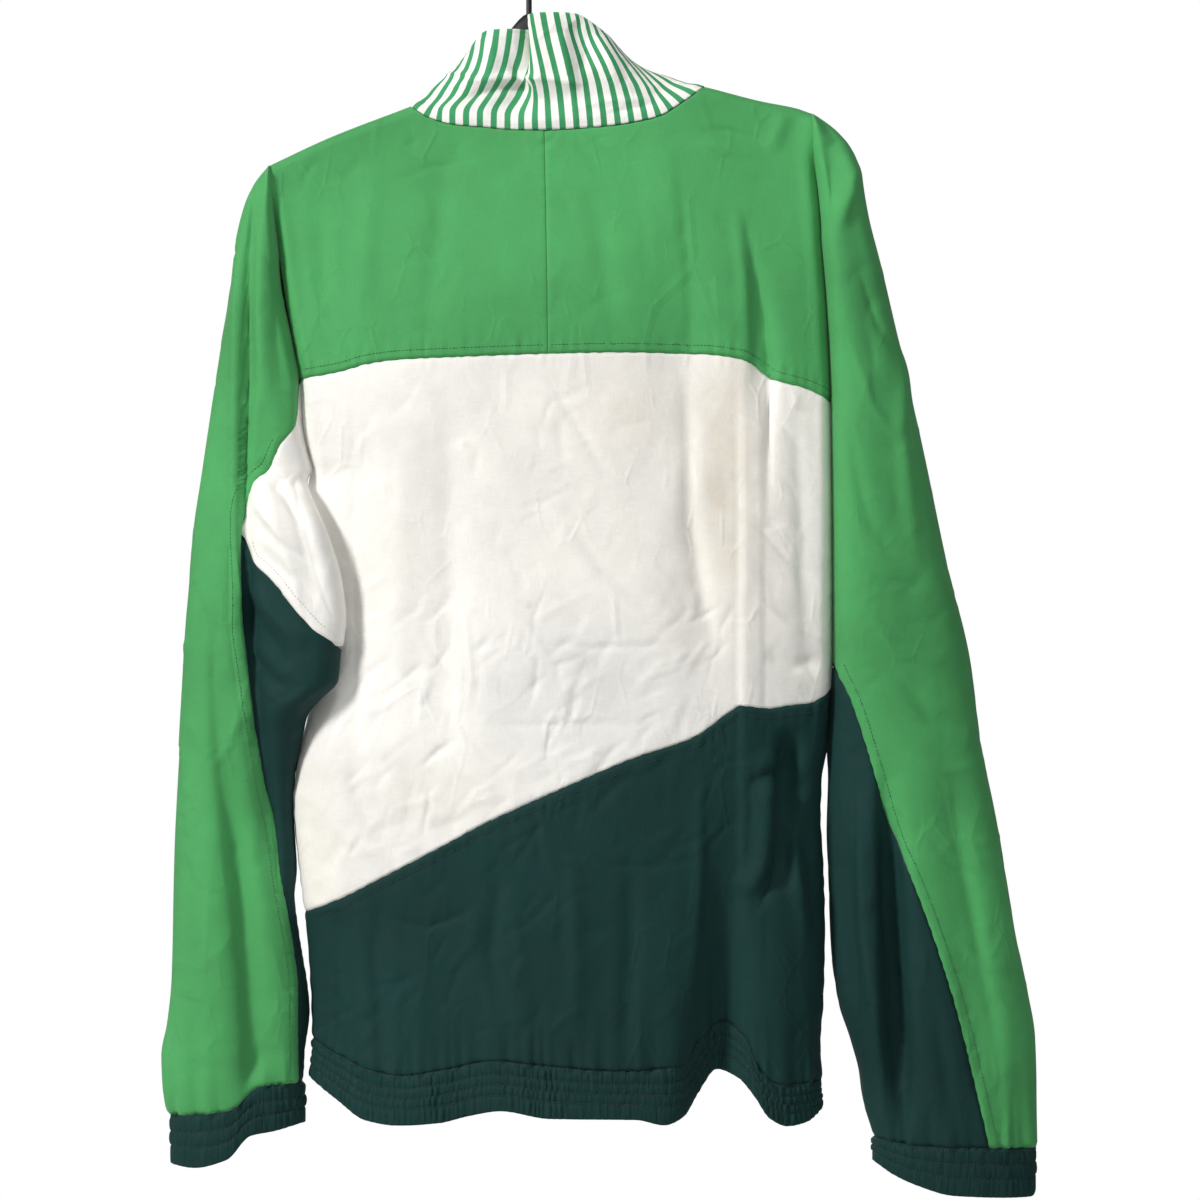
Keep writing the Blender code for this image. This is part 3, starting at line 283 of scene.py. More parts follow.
# Creases: half width, height (outwards, negative inwards), kind, then points of (x, down).
# A soft one is a rounded wave, a crisp one has a sharp line, and a step lifts the wearer's right
# side of its line, or the left side where its points run upwards.
SOFT, CRISP, STEP = 0, 1, 2
CREASES = {
    ("body", BACK): (
        (4, -2.2, CRISP, ((-153, 215), (-162, 265), (-169, 322), (-168, 420))),
        (4, 1.2, SOFT, ((-146, 205), (-151, 260), (-154, 330))),
        (6, 1.0, SOFT, ((-182, 137), (-176, 150), (-170, 166))),
        (3, -0.7, CRISP, ((-121, 150), (-142, 150), (-165, 157))),
        (3, 0.6, SOFT, ((-118, 160), (-140, 163), (-158, 170))),
        (2.5, -0.35, CRISP, ((123, 327), (124, 450), (122, 600))),
        (1.8, 0.95, STEP, ((-147, 296), (-148.5, 420), (-148, 556), (-148, 700), (-148, 812))),
        (2.2, -0.5, CRISP, ((-146.5, 318), (-147.5, 480), (-146, 566))),
        (6, -1.6, SOFT, ((-111, 324), (-113, 425), (-123, 488), (-131, 519))),
        (3, -0.8, CRISP, ((-11, 326), (-35, 361), (-57, 400))),
        (10, -1.2, SOFT, ((57, 330), (55, 470), (60, 600))),
        (14, 1.4, SOFT, ((90, 350), (92, 480), (88, 620))),
        (3, -0.7, CRISP, ((-9, 514), (-50, 516), (-106, 514))),
        (3, -0.6, CRISP, ((30, 571), (-30, 569), (-85, 571))),
        (3, -0.9, CRISP, ((-50, 666), (-85, 669), (-121, 664))),
        (3, -0.8, CRISP, ((75, 505), (60, 530), (42, 548))),
        (3, 0.8, CRISP, ((98, 520), (84, 545), (60, 566))),
        (4, -0.9, CRISP, ((60, 560), (30, 588), (0, 600))),
        (3, 0.7, CRISP, ((20, 486), (2, 500), (-12, 520))),
        (4, -0.8, SOFT, ((-30, 430), (-50, 460), (-90, 492))),
        (3, -0.7, CRISP, ((100, 590), (84, 612), (62, 628))),
        (4, -0.9, SOFT, ((128, 600), (112, 640), (92, 662))),
        (3, 0.8, CRISP, ((140, 640), (122, 655), (100, 664))),
        (5, -1.4, SOFT, ((-180, 584), (-179, 600), (-166, 605), (-154, 611))),
        (4, -3.0, CRISP, ((-181, 578), (-175, 600), (-174, 640), (-172, 680), (-156, 704))),
        (9, -3.0, SOFT, ((-184, 570), (-182, 610), (-184, 650), (-176, 690))),
        (1.6, 1.7, STEP, ((-154, 693), (-171, 667), (-171, 616), (-179.6, 580))),
        (1.4, 1.0, STEP, ((-153.4, 610.6), (-165.4, 602), (-180.3, 595.7))),
        (10, -2.4, SOFT, ((136, 700), (140, 760), (136, 812))),
        (5, 1.8, SOFT, ((-170, 590), (-166, 630), (-164, 668), (-152, 690))),
        (5, 1.6, SOFT, ((-188, 588), (-184, 640), (-190, 690), (-197, 740))),
        (6, -1.5, SOFT, ((-196, 620), (-197, 666), (-204, 720))),
        (4, 1.0, SOFT, ((-121, 600), (-118, 690), (-112, 780))),
        (6, -1.2, SOFT, ((20, 665), (26, 730), (20, 790))),
        (6, 1.2, SOFT, ((-30, 660), (-34, 730), (-30, 800))),
        (6, -1.2, SOFT, ((-70, 650), (-72, 730), (-66, 800))),
        (6, -1.3, SOFT, ((105, 690), (108, 740), (102, 800))),
        (5, 0.9, SOFT, ((133, 712), (136, 760), (130, 795))),
        (4, -0.9, CRISP, ((100, 705), (70, 712), (40, 700))),
        (4, 0.8, CRISP, ((10, 640), (-20, 662), (-58, 676))),
        (2.6, 0.8, STEP, ((-111, 318), (-109, 250), (-104, 200), (-101, 160))),
        (9, -1.0, SOFT, ((60, 160), (64, 220), (72, 300))),
        (9, 0.9, SOFT, ((110, 175), (116, 240), (118, 310))),
        (7, -0.8, SOFT, ((150, 190), (146, 250), (140, 315))),
        (8, -0.8, SOFT, ((-45, 190), (-52, 240), (-60, 300))),
        (3, -0.5, CRISP, ((40, 172), (70, 176), (96, 186))),
        (3, -0.3, CRISP, ((-152, 345), (-180, 362), (-203, 392))),
        (4, -0.7, CRISP, ((-160, 430), (-182, 455), (-207, 470))),
        (4, 0.8, CRISP, ((-158, 480), (-180, 500), (-208, 512))),
        (5, -0.8, SOFT, ((-165, 520), (-186, 530), (-208, 524))),
        (6, -1.0, SOFT, ((-188, 345), (-192, 430), (-196, 540))),
    ),
    ("body", FRONT): (
        (10, -1.4, SOFT, ((120, 330), (126, 450), (120, 600))),
        (8, -1.2, SOFT, ((60, 330), (54, 450), (60, 600))),
        (8, 1.2, SOFT, ((-60, 320), (-66, 450), (-60, 590))),
        (10, -1.4, SOFT, ((-150, 330), (-156, 450), (-150, 560))),
        (4, -0.9, CRISP, ((100, 460), (70, 480), (40, 486))),
        (4, -0.9, CRISP, ((-60, 430), (-90, 450), (-130, 460))),
        (4, 0.8, CRISP, ((-40, 640), (-80, 660), (-130, 664))),
        (4, -0.8, CRISP, ((30, 560), (60, 580), (96, 584))),
        (8, -1.1, SOFT, ((40, 215), (44, 260), (50, 305))),
        (8, -1.1, SOFT, ((-60, 215), (-66, 260), (-70, 305))),
    ),
    ("left", BACK): (
        (3, -2.6, CRISP, ((196, 190), (198, 218), (200, 243), (201, 320), (203.5, 470))),
        (0.8, 2.0, STEP, (
            (186, 620), (192, 584), (199, 537), (204, 497), (204, 440), (201.5, 320),
            (200, 243), (198, 218), (196, 190),
        )),
        (4, -1.6, SOFT, ((196, 200), (196, 243), (197, 320), (199, 440), (198, 497), (186, 590))),
        (4, 1.5, SOFT, ((205, 200), (207, 260), (209, 360), (212, 450))),
        (1.5, 1.1, STEP, ((155, 510), (157, 497), (162, 468), (170, 445), (184, 393))),
        (7, -1.8, SOFT, ((170, 396), (160, 440), (152, 470), (146, 500))),
        (5, -1.1, CRISP, ((166, 392), (156, 430), (146, 470), (136, 500))),
        (5, 1.6, SOFT, ((190, 214), (190, 280), (186, 350))),
        (6, -1.4, SOFT, ((178, 240), (177, 300), (172, 350))),
        (2.8, 1.7, STEP, (
            (202, 870), (203, 794), (206, 750), (210, 701), (217, 640), (223, 577), (226, 480),
        )),
        (4, -0.9, CRISP, ((240, 470), (226, 500), (210, 512))),
        (4, 0.9, CRISP, ((242, 560), (228, 590), (206, 604))),
        (4, -0.9, CRISP, ((248, 660), (236, 684), (222, 696))),
        (4, 0.9, CRISP, ((200, 560), (214, 590), (226, 604))),
        (5, -1.8, SOFT, ((190, 384), (172, 410), (158, 432))),
        (5, 1.4, SOFT, ((198, 404), (180, 428), (160, 452))),
        (4, -1.6, CRISP, ((196, 420), (172, 445), (146, 462))),
        (5, -1.6, SOFT, ((190, 446), (168, 466), (150, 482))),
        (4, -1.2, CRISP, ((180, 400), (170, 396), (160, 402))),
        (6, -2.2, SOFT, ((204, 480), (186, 506), (168, 530))),
        (6, 1.8, SOFT, ((196, 470), (178, 494), (156, 516))),
        (5, -1.8, SOFT, ((196, 520), (180, 540), (160, 548))),
        (4, -1.3, CRISP, ((186, 556), (176, 552), (164, 548))),
        (4, -1.2, CRISP, ((186, 600), (180, 650), (176, 700))),
        (4, 1.0, SOFT, ((192, 330), (196, 380), (198, 400))),
    ),
    ("left", FRONT): (
        (6, -1.4, SOFT, ((220, 300), (224, 420), (222, 560))),
        (5, -1.2, CRISP, ((190, 470), (214, 480), (236, 470))),
        (5, 1.2, CRISP, ((196, 520), (216, 536), (238, 530))),
        (6, -1.4, SOFT, ((190, 640), (196, 720), (200, 820))),
    ),
    ("right", BACK): (
        (6, 2.4, SOFT, ((-216, 160), (-223, 171), (-227, 182), (-226, 195), (-221, 207), (-217, 222))),
        (6, -1.6, SOFT, ((-209, 160), (-213, 176), (-213, 200), (-212, 226))),
        (5, -1.6, CRISP, ((-249, 600), (-252, 700), (-262, 780), (-266, 858))),
        (1.6, 2.0, STEP, ((-254, 862), (-248, 790), (-246, 700), (-244, 600))),
        (8, -3.2, SOFT, ((-252, 590), (-254, 700), (-257, 780), (-264, 870))),
        (4, -1.0, CRISP, ((-232, 250), (-246, 290), (-262, 312))),
        (4, 0.9, CRISP, ((-226, 300), (-240, 345), (-262, 372))),
        (5, -1.0, SOFT, ((-224, 360), (-236, 420), (-256, 452))),
        (4, -1.1, CRISP, ((-228, 450), (-250, 470), (-282, 474))),
        (4, 1.0, CRISP, ((-236, 490), (-256, 516), (-290, 528))),
        (5, -1.1, SOFT, ((-262, 540), (-282, 566), (-310, 574))),
        (4, 0.9, CRISP, ((-262, 590), (-290, 604), (-318, 600))),
        (5, -1.2, SOFT, ((-296, 620), (-312, 700), (-330, 800))),
        (4, -0.9, CRISP, ((-280, 650), (-300, 672), (-328, 680))),
        (4, 0.9, CRISP, ((-300, 720), (-322, 740), (-344, 742))),
        (5, 1.4, SOFT, ((-232, 640), (-236, 720), (-248, 800))),
        (6, -1.4, SOFT, ((-222, 640), (-226, 720), (-238, 800))),
        (5, -1.1, SOFT, ((-284, 760), (-292, 810), (-298, 860))),
        (5, 1.0, SOFT, ((-272, 250), (-262, 360), (-272, 460))),
    ),
    ("right", FRONT): (
        (6, -1.4, SOFT, ((-240, 300), (-256, 420), (-276, 560))),
        (5, -1.2, CRISP, ((-232, 470), (-262, 484), (-296, 474))),
        (5, 1.2, CRISP, ((-240, 530), (-268, 548), (-304, 540))),
        (6, -1.4, SOFT, ((-270, 620), (-290, 720), (-312, 840))),
    ),
    ("collar", BACK): (
        (4, 1.6, SOFT, ((48, 129), (36, 124), (18, 121), (-4, 120))),
        (3, -1.4, CRISP, ((56, 121), (40, 115), (20, 113), (-14, 114), (-40, 118))),
        (3, -0.9, CRISP, ((60, 110), (48, 110), (35, 113))),
        (7, 2.2, SOFT, ((-30, 76), (-38, 92), (-44, 108))),
        (5, -1.8, SOFT, ((-20, 84), (-26, 104), (-30, 122))),
        (6, -1.4, SOFT, ((-48, 84), (-56, 100), (-64, 116))),
        (4, 1.0, SOFT, ((16, 96), (8, 112), (6, 128))),
        (3, -0.9, CRISP, ((-28, 136), (-50, 130), (-86, 128))),
        (3, 0.7, CRISP, ((-50, 140), (-70, 136), (-92, 130))),
        (4, -1.0, SOFT, ((30, 84), (26, 100), (30, 116))),
    ),
    ("collar", FRONT): (
        (8, 1.6, SOFT, ((50, 140), (30, 156), (0, 164))),
        (8, 1.6, SOFT, ((-70, 140), (-50, 156), (-24, 164))),
    ),
}

# Small crinkles: tube, sheet, ranges of x and down, their angle and its spread in degrees, count,
# length, half width and height.
CRINKLES = (
    ("body", BACK, -140, 140, 480, 660, 52, 34, 140, 44, 1.9, 0.6),
    ("body", BACK, -140, 140, 330, 480, 65, 50, 60, 40, 2.4, 0.34),
    ("body", BACK, -203, -152, 340, 550, 120, 40, 30, 30, 2.4, 0.3),
    ("body", BACK, -190, 170, 150, 310, 80, 60, 54, 44, 3.2, 0.36),
    ("body", BACK, -200, 150, 600, 790, 70, 60, 120, 40, 2.4, 0.5),
    ("body", FRONT, -205, 155, 220, 780, 75, 60, 120, 50, 3.2, 0.6),
    ("left", BACK, 165, 245, 220, 820, 110, 60, 110, 34, 2.2, 0.4),
    ("left", FRONT, 165, 245, 220, 820, 100, 60, 60, 36, 3.0, 0.6),
    ("right", BACK, -350, -215, 170, 850, 60, 50, 150, 40, 2.2, 0.42),
    ("right", FRONT, -350, -215, 170, 850, 70, 50, 80, 38, 3.0, 0.6),
    ("collar", BACK, -110, 75, 75, 145, 70, 60, 26, 14, 1.8, 0.4),
)
CRINKLE_SEED = 11
CREASE_SCALE = 2.3

# The groove between body and sleeve, the lip beside it and the filled shoulder: height, half width.
VALLEY_GROOVE, VALLEY_GROOVE_HALF = 4.4, 3.2
VALLEY_LIP, VALLEY_LIP_HALF, VALLEY_LIP_AWAY = 1.3, 4.5, 7.5
SHOULDER_FILL, SHOULDER_FILL_HALF = 2.6, 8.0
VALLEY_START, VALLEY_FADE = 12.0, 40.0

# Columns from the side to the neck and on to the centre, and rows in each panel.
SIDE_COLUMNS = 44
NECK_COLUMNS = 40
YOKE_ROWS = 76
LOWER_ROWS = 78
MIDDLE_ROWS_BELOW = 116
MIDDLE_ROWS_WING = 22
MIDDLE_ROWS_ABOVE = 1
WING_TOP = 330
WING_START = 440
WING_END = 515
THREE_WAY_RIGHT = 525
HEM_ROWS = 26
HEM_SIDE_COLUMNS = 84
HEM_NECK_COLUMNS = 78
CUFF_ROWS = 24
CUFF_COLUMNS = 70
CUFF_DRAW_IN = 0.85
SLEEVE_COLUMNS = 34
SLEEVE_STEP = 3.2
CROWD = 0.6

# Seams and their topstitching.
GROOVE_DEPTH = 0.55
GROOVE_HALF = 1.1
ALLOWANCE = 6.4
ALLOWANCE_RISE = 0.35
STITCH_PITCH = 2.7
STITCH_LENGTH = 1.9
STITCH_RADIUS = 0.24
STITCH_LIFT = 0.74
STITCH_REACH = 0.8
BAND_STITCH_LIFT = 0.6

# The zip: its tape, chain, slider and pull.
ZIP_TAPE_HALF = 9.0
ZIP_TAPE_GAP = 0.6
ZIP_TAPE_WALL = 0.8
CHAIN_PROUD = 1.2
TOOTH_PITCH = 2.5
SLIDER_AT = 0.82
SLIDER_WIDTH = 8.0
SLIDER_LENGTH = 10.0
PLATE_GAP = 0.3
PLATE_THICKNESS = 1.2
BRIDGE_LENGTH = 8.0
WINDOW_HEIGHT = 2.2
PIN_DROP = 1.2
PULL_LEG = 5.0
PULL_WIDTH = 6.4
PULL_LENGTH = 24.0

BRIDGE_WIRE = 0.75
PULL_WIRE = 0.58
TAB_HALF = 0.42
RIM_WIRE = 0.55
# A tape's section from the chain out: across and how far its cord stands up.
TAPE_SECTION = ((0.25, 0.0), (0.7, 0.55), (1.5, 0.55), (2.0, 0.0), (5.0, 0.0), (ZIP_TAPE_HALF, 0.0))
# A tooth's root in its tape and its head in the chain: place across, half sizes and chamfer.
TOOTH_ROOT = (1.25, (1.3, 1.05, 0.5), 0.18)
TOOTH_HEAD = (-0.15, (0.75, 0.95, 0.72), 0.2)
TOOTH_OUT = 0.1

# The chain's points up to the neck and on in the collar, and where the slider lies among them.
ZIP_POINTS = 260
ZIP_COLLAR_POINTS = 24
ZIP_TOP = 0.98
SLIDER_SPAN_START = 0.66
SLIDER_FOOT_POINT = 16

# Gathers that a band draws into the cloth beside it: reach, height, pitch and phase.
HEM_GATHERS = ((15.0, 1.3, 9.5, 0.4), (42.0, 1.1, 22.0, 2.2))
CUFF_GATHERS = ((14.0, 1.4, 8.5, 0.9), (45.0, 1.5, 20.0, 3.0))
BAND_SEAM_HALF = 1.5

# Elastic bands: stitch rows as shares of their height, then ribs and rolls.
HEM_STITCH_ROWS = (0.04, 0.27, 0.48, 0.68)
CUFF_STITCH_ROWS = (0.06, 0.34, 0.62)
COLLAR_STITCH_ROW = 0.92
BAND_BLEND = 0.12
RIB_PITCH = 3.8
RIB_HEIGHT = 0.95
ROLL_HEIGHT = 0.6

# Collar slump: least and most height outwards, where it is highest and its half width.
SLUMP_LOW, SLUMP_HIGH, SLUMP_X, SLUMP_HALF = 1.2, 3.6, 4.0, 42.0

LIGHT_GREEN = (0.069, 0.365, 0.109)
DARK_GREEN = (0.0055, 0.039, 0.0355)
WHITE = (0.95, 0.935, 0.89)
STRIPE_GREEN = (0.045, 0.33, 0.13)
# Beige tint of the stains, also used as painted shade beside the left sleeve.
STAIN_AND_SHADE_TINT = (0.72, 0.62, 0.46)
TAPE_WHITE = (0.78, 0.77, 0.73)
ZIP_WHITE = (0.76, 0.75, 0.71)
ARMS_BLACK = (0.0025, 0.0025, 0.003)
WIRE_BLACK = (0.004, 0.004, 0.004)
THREADS = {
    "light": ("light_green_thread", (0.02, 0.15, 0.045)),
    "dark": ("dark_green_thread", (0.003, 0.016, 0.015)),
    # The white thread is toned grey: partly its own pale colour, partly painted shade, so its stitches
    # read as faint dark dashes.
    "white": ("white_thread_painted_shade", (0.55, 0.53, 0.48)),
}
# Fine wrinkles: how many a metre across and down, and their share of the height.
WRINKLES = ((24.0, 13.0, 1.0), (44.0, 30.0, 0.6))

# Faint stains on the white back panel, and painted shade: the blob at x 150, down 660 is painted shade
# along its left side by the sleeve, and the one at x -138, down 400 darkens and yellows it left of the
# step crease. Rows: x, down, half widths and strength.
STAINS_AND_SHADE = (
    (-138, 400, 22, 90, 0.42), (-70, 350, 30, 26, 0.18), (44, 374, 2.2, 2.6, 0.7),
    (0, 487, 1.8, 2.2, 0.6), (60, 620, 46, 30, 0.16), (150, 660, 18, 60, 0.3),
    (100, 460, 30, 60, 0.12),
)

# The camera looks straight at the back, and its frame's side is a real length.
CAMERA_X = -49.7
CAMERA_DOWN = 482.8
FRAME_SIDE = 852.0
CAMERA_DISTANCE = 3200.0
SENSOR = 36.0

# Lights: name, place, size, power and tint, in metres and watts, all aimed at the frame's centre.
LIGHTS = (
    ("key", (2.4, 2.0, 1.0), 0.6, 97, (1.0, 0.99, 0.97)),
    ("top", (-0.1, 1.1, 0.95), 0.6, 8, (1.0, 1.0, 1.0)),
    ("fill", (-1.9, 2.0, 0.5), 2.0, 9, (0.97, 0.98, 1.0)),
    ("front_fill", (0.4, -2.4, 0.7), 2.0, 34, (1.0, 1.0, 1.0)),
)
AMBIENT = 0.13
FLOOR_RADIUS = 1.9
FLOOR_Z = -1.35


class Curve:
    """A smooth curve through rows of (at, value) that never swings past them."""

    def __init__(self, rows):
        rows = sorted(rows)
        self.at = np.array([row[0] for row in rows], float)
        self.value = np.array([row[1] for row in rows], float)
        steps = np.diff(self.value) / np.diff(self.at)
        inner = [2 * a * b / (a + b) if a * b > 0 else 0.0 for a, b in zip(steps, steps[1:])]
        self.slope = np.array([steps[0], *inner, steps[-1]])

    def __call__(self, at):
        at = np.clip(np.asarray(at, float), self.at[0], self.at[-1])
        i = np.clip(np.searchsorted(self.at, at, side="right") - 1, 0, len(self.at) - 2)
        width = self.at[i + 1] - self.at[i]
        t = (at - self.at[i]) / width
        first = self.value[i] * (1 + 2 * t) + self.slope[i] * width * t
        last = self.value[i + 1] * (3 - 2 * t) - self.slope[i + 1] * width * (1 - t)
        return first * (1 - t) ** 2 + last * t**2


def curves(back, front):
    return {BACK: Curve(back), FRONT: Curve(front)}


def mix(a, b, t):
    return a + (b - a) * t


def ease(t):
    t = np.clip(t, 0.0, 1.0)
    return t * t * (3 - 2 * t)


def bell(t):
    return np.exp(-np.square(t))


def round_profile(share):
    """Height of a flattened tube's sheet at this share of its width, 0 at both rims."""
    share = np.clip(share, 0.0, 1.0)
    return (2 * np.sqrt(share * (1 - share))) ** ROUNDNESS


def over_arm(depth):
    """The cloth's turn over the hanger's arm, 0 on the shoulder ridge and 1 below it."""
    t = 1 - np.clip(depth / OVER_HANGER, 0.0, 1.0)
    return np.sqrt(1 - t * t)


class Sleeve:
    """One sleeve's outlines, seams and depths."""

    def __init__(self, name, sign, tables):
        self.name = name
        self.sign = sign
        for key, rows in tables.items():
            setattr(self, key, Curve(rows))
        self.top = tables["fold"][0][0]
        self.underarm = tables["fold"][-1][0]
        self.cuff_line = tables["outer"][-1][0]


LEFT = Sleeve("left", 1, {
    "fold": FOLD_LEFT,
    "outer": OUTER_LEFT,
    "inner": INNER_LEFT,
    "side": BODY_SIDE_LEFT,
    "depth": SLEEVE_DEPTH_LEFT,
    "rim": SLEEVE_RIM_LEFT,
    "body_rim": BODY_RIM_LEFT,
    "cuff_seam": CUFF_SEAM_LEFT,
    "cuff_edge": CUFF_EDGE_LEFT,
})
RIGHT = Sleeve("right", -1, {
    "fold": FOLD_RIGHT,
    "outer": OUTER_RIGHT,
    "inner": INNER_RIGHT,
    "side": BODY_SIDE_RIGHT,
    "depth": SLEEVE_DEPTH_RIGHT,
    "rim": SLEEVE_RIM_RIGHT,
    "body_rim": BODY_RIM_RIGHT,
    "cuff_seam": CUFF_SEAM_RIGHT,
    "cuff_edge": CUFF_EDGE_RIGHT,
})
VALLEYS = {
    "left": curves(VALLEY_LEFT[BACK], VALLEY_LEFT[FRONT]),
    "right": curves(VALLEY_RIGHT[BACK], VALLEY_RIGHT[FRONT]),
}
DEPTH = curves(BODY_DEPTH[BACK], BODY_DEPTH[FRONT])
RIDGE_LINE = Curve(RIDGE)
NECKLINE = curves(NECK_BACK, NECK_FRONT)
NECK_LEFT = NECK_BACK[0][0]
NECK_RIGHT = NECK_BACK[-1][0]
CENTRE_LINE = Curve(CENTRE)
YOKE_LINE = Curve(YOKE_SEAM)
WAIST_LINE = curves(WAIST_SEAM_BACK, WAIST_SEAM_FRONT)
HEM_LINE = curves(HEM_SEAM_BACK, HEM_SEAM_FRONT)
EDGE_LINE = curves(HEM_EDGE_BACK, HEM_EDGE_FRONT)
COLLAR_EDGE = {
    sheet: [Curve([(row[0], row[column]) for row in rows]) for column in (1, 3, 2)]
    for sheet, rows in COLLAR_TOP.items()
}
GREEN_LEFT = Curve(GREEN_EDGE_LEFT)
GREEN_RIGHT = Curve(GREEN_EDGE_RIGHT)
WING_HEM = Curve(WING_HEM_LEFT)
FLATNESS = Curve(POUCH_FLATNESS)


def sleeve_of(tube):
    return LEFT if tube == "left" else RIGHT


def centre_gap(sheet):
    """Half the gap in the middle of a panel: the zip's slot in front, and none at the back."""
    return ZIP_SLOT_HALF if sheet == FRONT else 0.0


def fold_depth(tube, sheet, x, down):
    """How far the folds of this tube's sheet draw it inwards here."""
    total = np.zeros(np.broadcast(x, down).shape)
    for name, on, x0, down0, x1, down1, width, depth, fade_in, fade_out in FOLDS:
        if name != tube or on != sheet:
            continue
        t = np.clip((down - down0) / (down1 - down0), 0.0, 1.0)
        strength = ease(t / fade_in)
        if fade_out:
            strength = strength * ease((1 - t) / fade_out)
        total = total + depth * strength * bell((x - mix(x0, x1, t)) / width)
    return total


def underarm_gap(sleeve, down, least):
    """Half the gap between the sheets' edges, wider where four of them meet at the underarm."""
    wide = UNDERARM_HALF_GAP * ease(1 - abs(down - sleeve.underarm) / UNDERARM_REACH)
    return np.maximum(least, wide)


def valley(sleeve, sheet, down):
    """y of the fold line between body and sleeve, before the cloth's turn over the arm."""
    level = VALLEYS[sleeve.name][sheet](down)
    depth = down - RIDGE_LINE(sleeve.fold(down))
    near = mix(sheet * OVER_HANGER, level, ease(depth / DRAPE_LENGTH))
    return near + sheet * underarm_gap(sleeve, down, 0.0)


def body_rim(sleeve, sheet, down, gap):
    """y of the body's side: the fold line, then the side seam below the underarm."""
    below = sleeve.body_rim(down)
    if gap:
        below = below + sheet * underarm_gap(sleeve, down, gap)
    return np.where(down <= sleeve.underarm, valley(sleeve, sheet, down), below)


def sleeve_rim(sleeve, sheet, down, gap=0.0):
    """y of the sleeve's inner rim: the fold line, then its own edge below the underarm."""
    depth = down - RIDGE_LINE(sleeve.fold(down))
    below = sleeve.rim(down)
    if gap:
        below = below + sheet * underarm_gap(sleeve, down, gap)
    above = over_arm(depth) * valley(sleeve, sheet, down)
    return np.where(down <= sleeve.underarm, above, below)


def side_of(sleeve, down):
    return np.where(down <= sleeve.underarm, sleeve.fold(down), sleeve.side(down))


def inner_of(sleeve, down):
    return np.where(down <= sleeve.underarm, sleeve.fold(down), sleeve.inner(down))


def valley_height(tube, x, down, sleeve):
    """The groove in which body and sleeve meet above the underarm, and the lip beside it."""
    line = sleeve.fold(down)
    away = np.abs(x - line)
    depth = down - RIDGE_LINE(line)
    below = ease((down - sleeve.underarm + VALLEY_START) / VALLEY_FADE)
    strength = ease((depth - VALLEY_START) / VALLEY_FADE) * (1 - below)
    groove = -VALLEY_GROOVE * bell(away / VALLEY_GROOVE_HALF)
    lip = VALLEY_LIP * bell((away - VALLEY_LIP_AWAY) / VALLEY_LIP_HALF) if tube == "body" else 0.0
    filled = SHOULDER_FILL * bell(away / SHOULDER_FILL_HALF) * ease(depth / SHOULDER_FILL_HALF)
    filled = filled * (1 - ease((depth - SHOULDER_FILL_HALF) / VALLEY_FADE))
    return strength * (groove + lip) + filled


def body_y(sheet, x, down, gap=SIDE_HALF_GAP):
    """y of the body's sheet, with the grooves in which it meets the sleeves."""
    grooves = valley_height("body", x, down, LEFT) + valley_height("body", x, down, RIGHT)
    return plain_body_y(sheet, x, down, gap) + sheet * grooves


def plain_body_y(sheet, x, down, gap):
    """y of the body's sheet between its rims, drawn in by its folds."""
    left = side_of(LEFT, down)
    right = side_of(RIGHT, down)
    share = np.clip((left - x) / (left - right), 0.0, 1.0)
    profile = round_profile(share)
    rim = mix(body_rim(LEFT, sheet, down, gap), body_rim(RIGHT, sheet, down, gap), share)
    depth = down - RIDGE_LINE(x)
    level = sheet * (DEPTH[sheet](down) - fold_depth("body", sheet, x, down))
    hang = mix(sheet * OVER_HANGER, level, ease(depth / DRAPE_LENGTH))
    return over_arm(depth) * mix(rim, hang, profile)


def sleeve_y(sleeve, sheet, x, down, gap=0.0):
    """y of a sleeve's sheet, with its folds and the pouch's flat front."""
    outer = sleeve.outer(down)
    inner = inner_of(sleeve, down)
    width = np.where(outer == inner, 1.0, outer - inner)
    share = np.where(outer == inner, 1.0, np.clip((outer - x) / width, 0.0, 1.0))
    lift = sleeve_rim(sleeve, sheet, down, gap) * ease((share - 0.3) / 0.65)
    depth = sleeve.depth(down) - fold_depth(sleeve.name, sheet, x, down)
    if sheet == FRONT and sleeve is LEFT:
        depth = depth * (1 - FLATNESS(down) * ease((share - 0.35) / 0.3))
    return lift + sheet * (depth * round_profile(share) + valley_height("sleeve", x, down, sleeve))


def cuff_tilt(sleeve, x, down):
    """Drop that turns level rows of the sleeve into its slanted cuff seam."""
    share = (down - CUFF_TILT_START) / (sleeve.cuff_line - CUFF_TILT_START)
    return (sleeve.cuff_seam(x) - sleeve.cuff_line) * ease(share)


def spread(count, both=False):
    """Shares from 0 to 1 that crowd a little at 0, or at both ends, where a tube turns round."""
    even = np.arange(count + 1) / count
    if both:
        return mix(even, (1 - np.cos(math.pi * even)) / 2, CROWD)
    return mix(even, 1 - np.cos(math.pi / 2 * even), CROWD)


def column_x(sleeve, share, at_neck, down, slot, inset):
    """x of a column at this share of the way from the body's side to its centre."""
    side = side_of(sleeve, down)
    middle = CENTRE_LINE(down)
    from_neck = (share - at_neck) / max(1e-9, 1 - at_neck)
    x = mix(side, middle, share) + sleeve.sign * slot * ease(from_neck)
    if inset:
        if sleeve is RIGHT:
            shift = FOLD_CLEARANCE * ease((sleeve.underarm + 35 - down) / 35)
        else:
            shift = FOLD_CLEARANCE * ease((WING_TOP - down) / 14)
        x = x - sleeve.sign * shift * (1 - share) ** 4
    return x


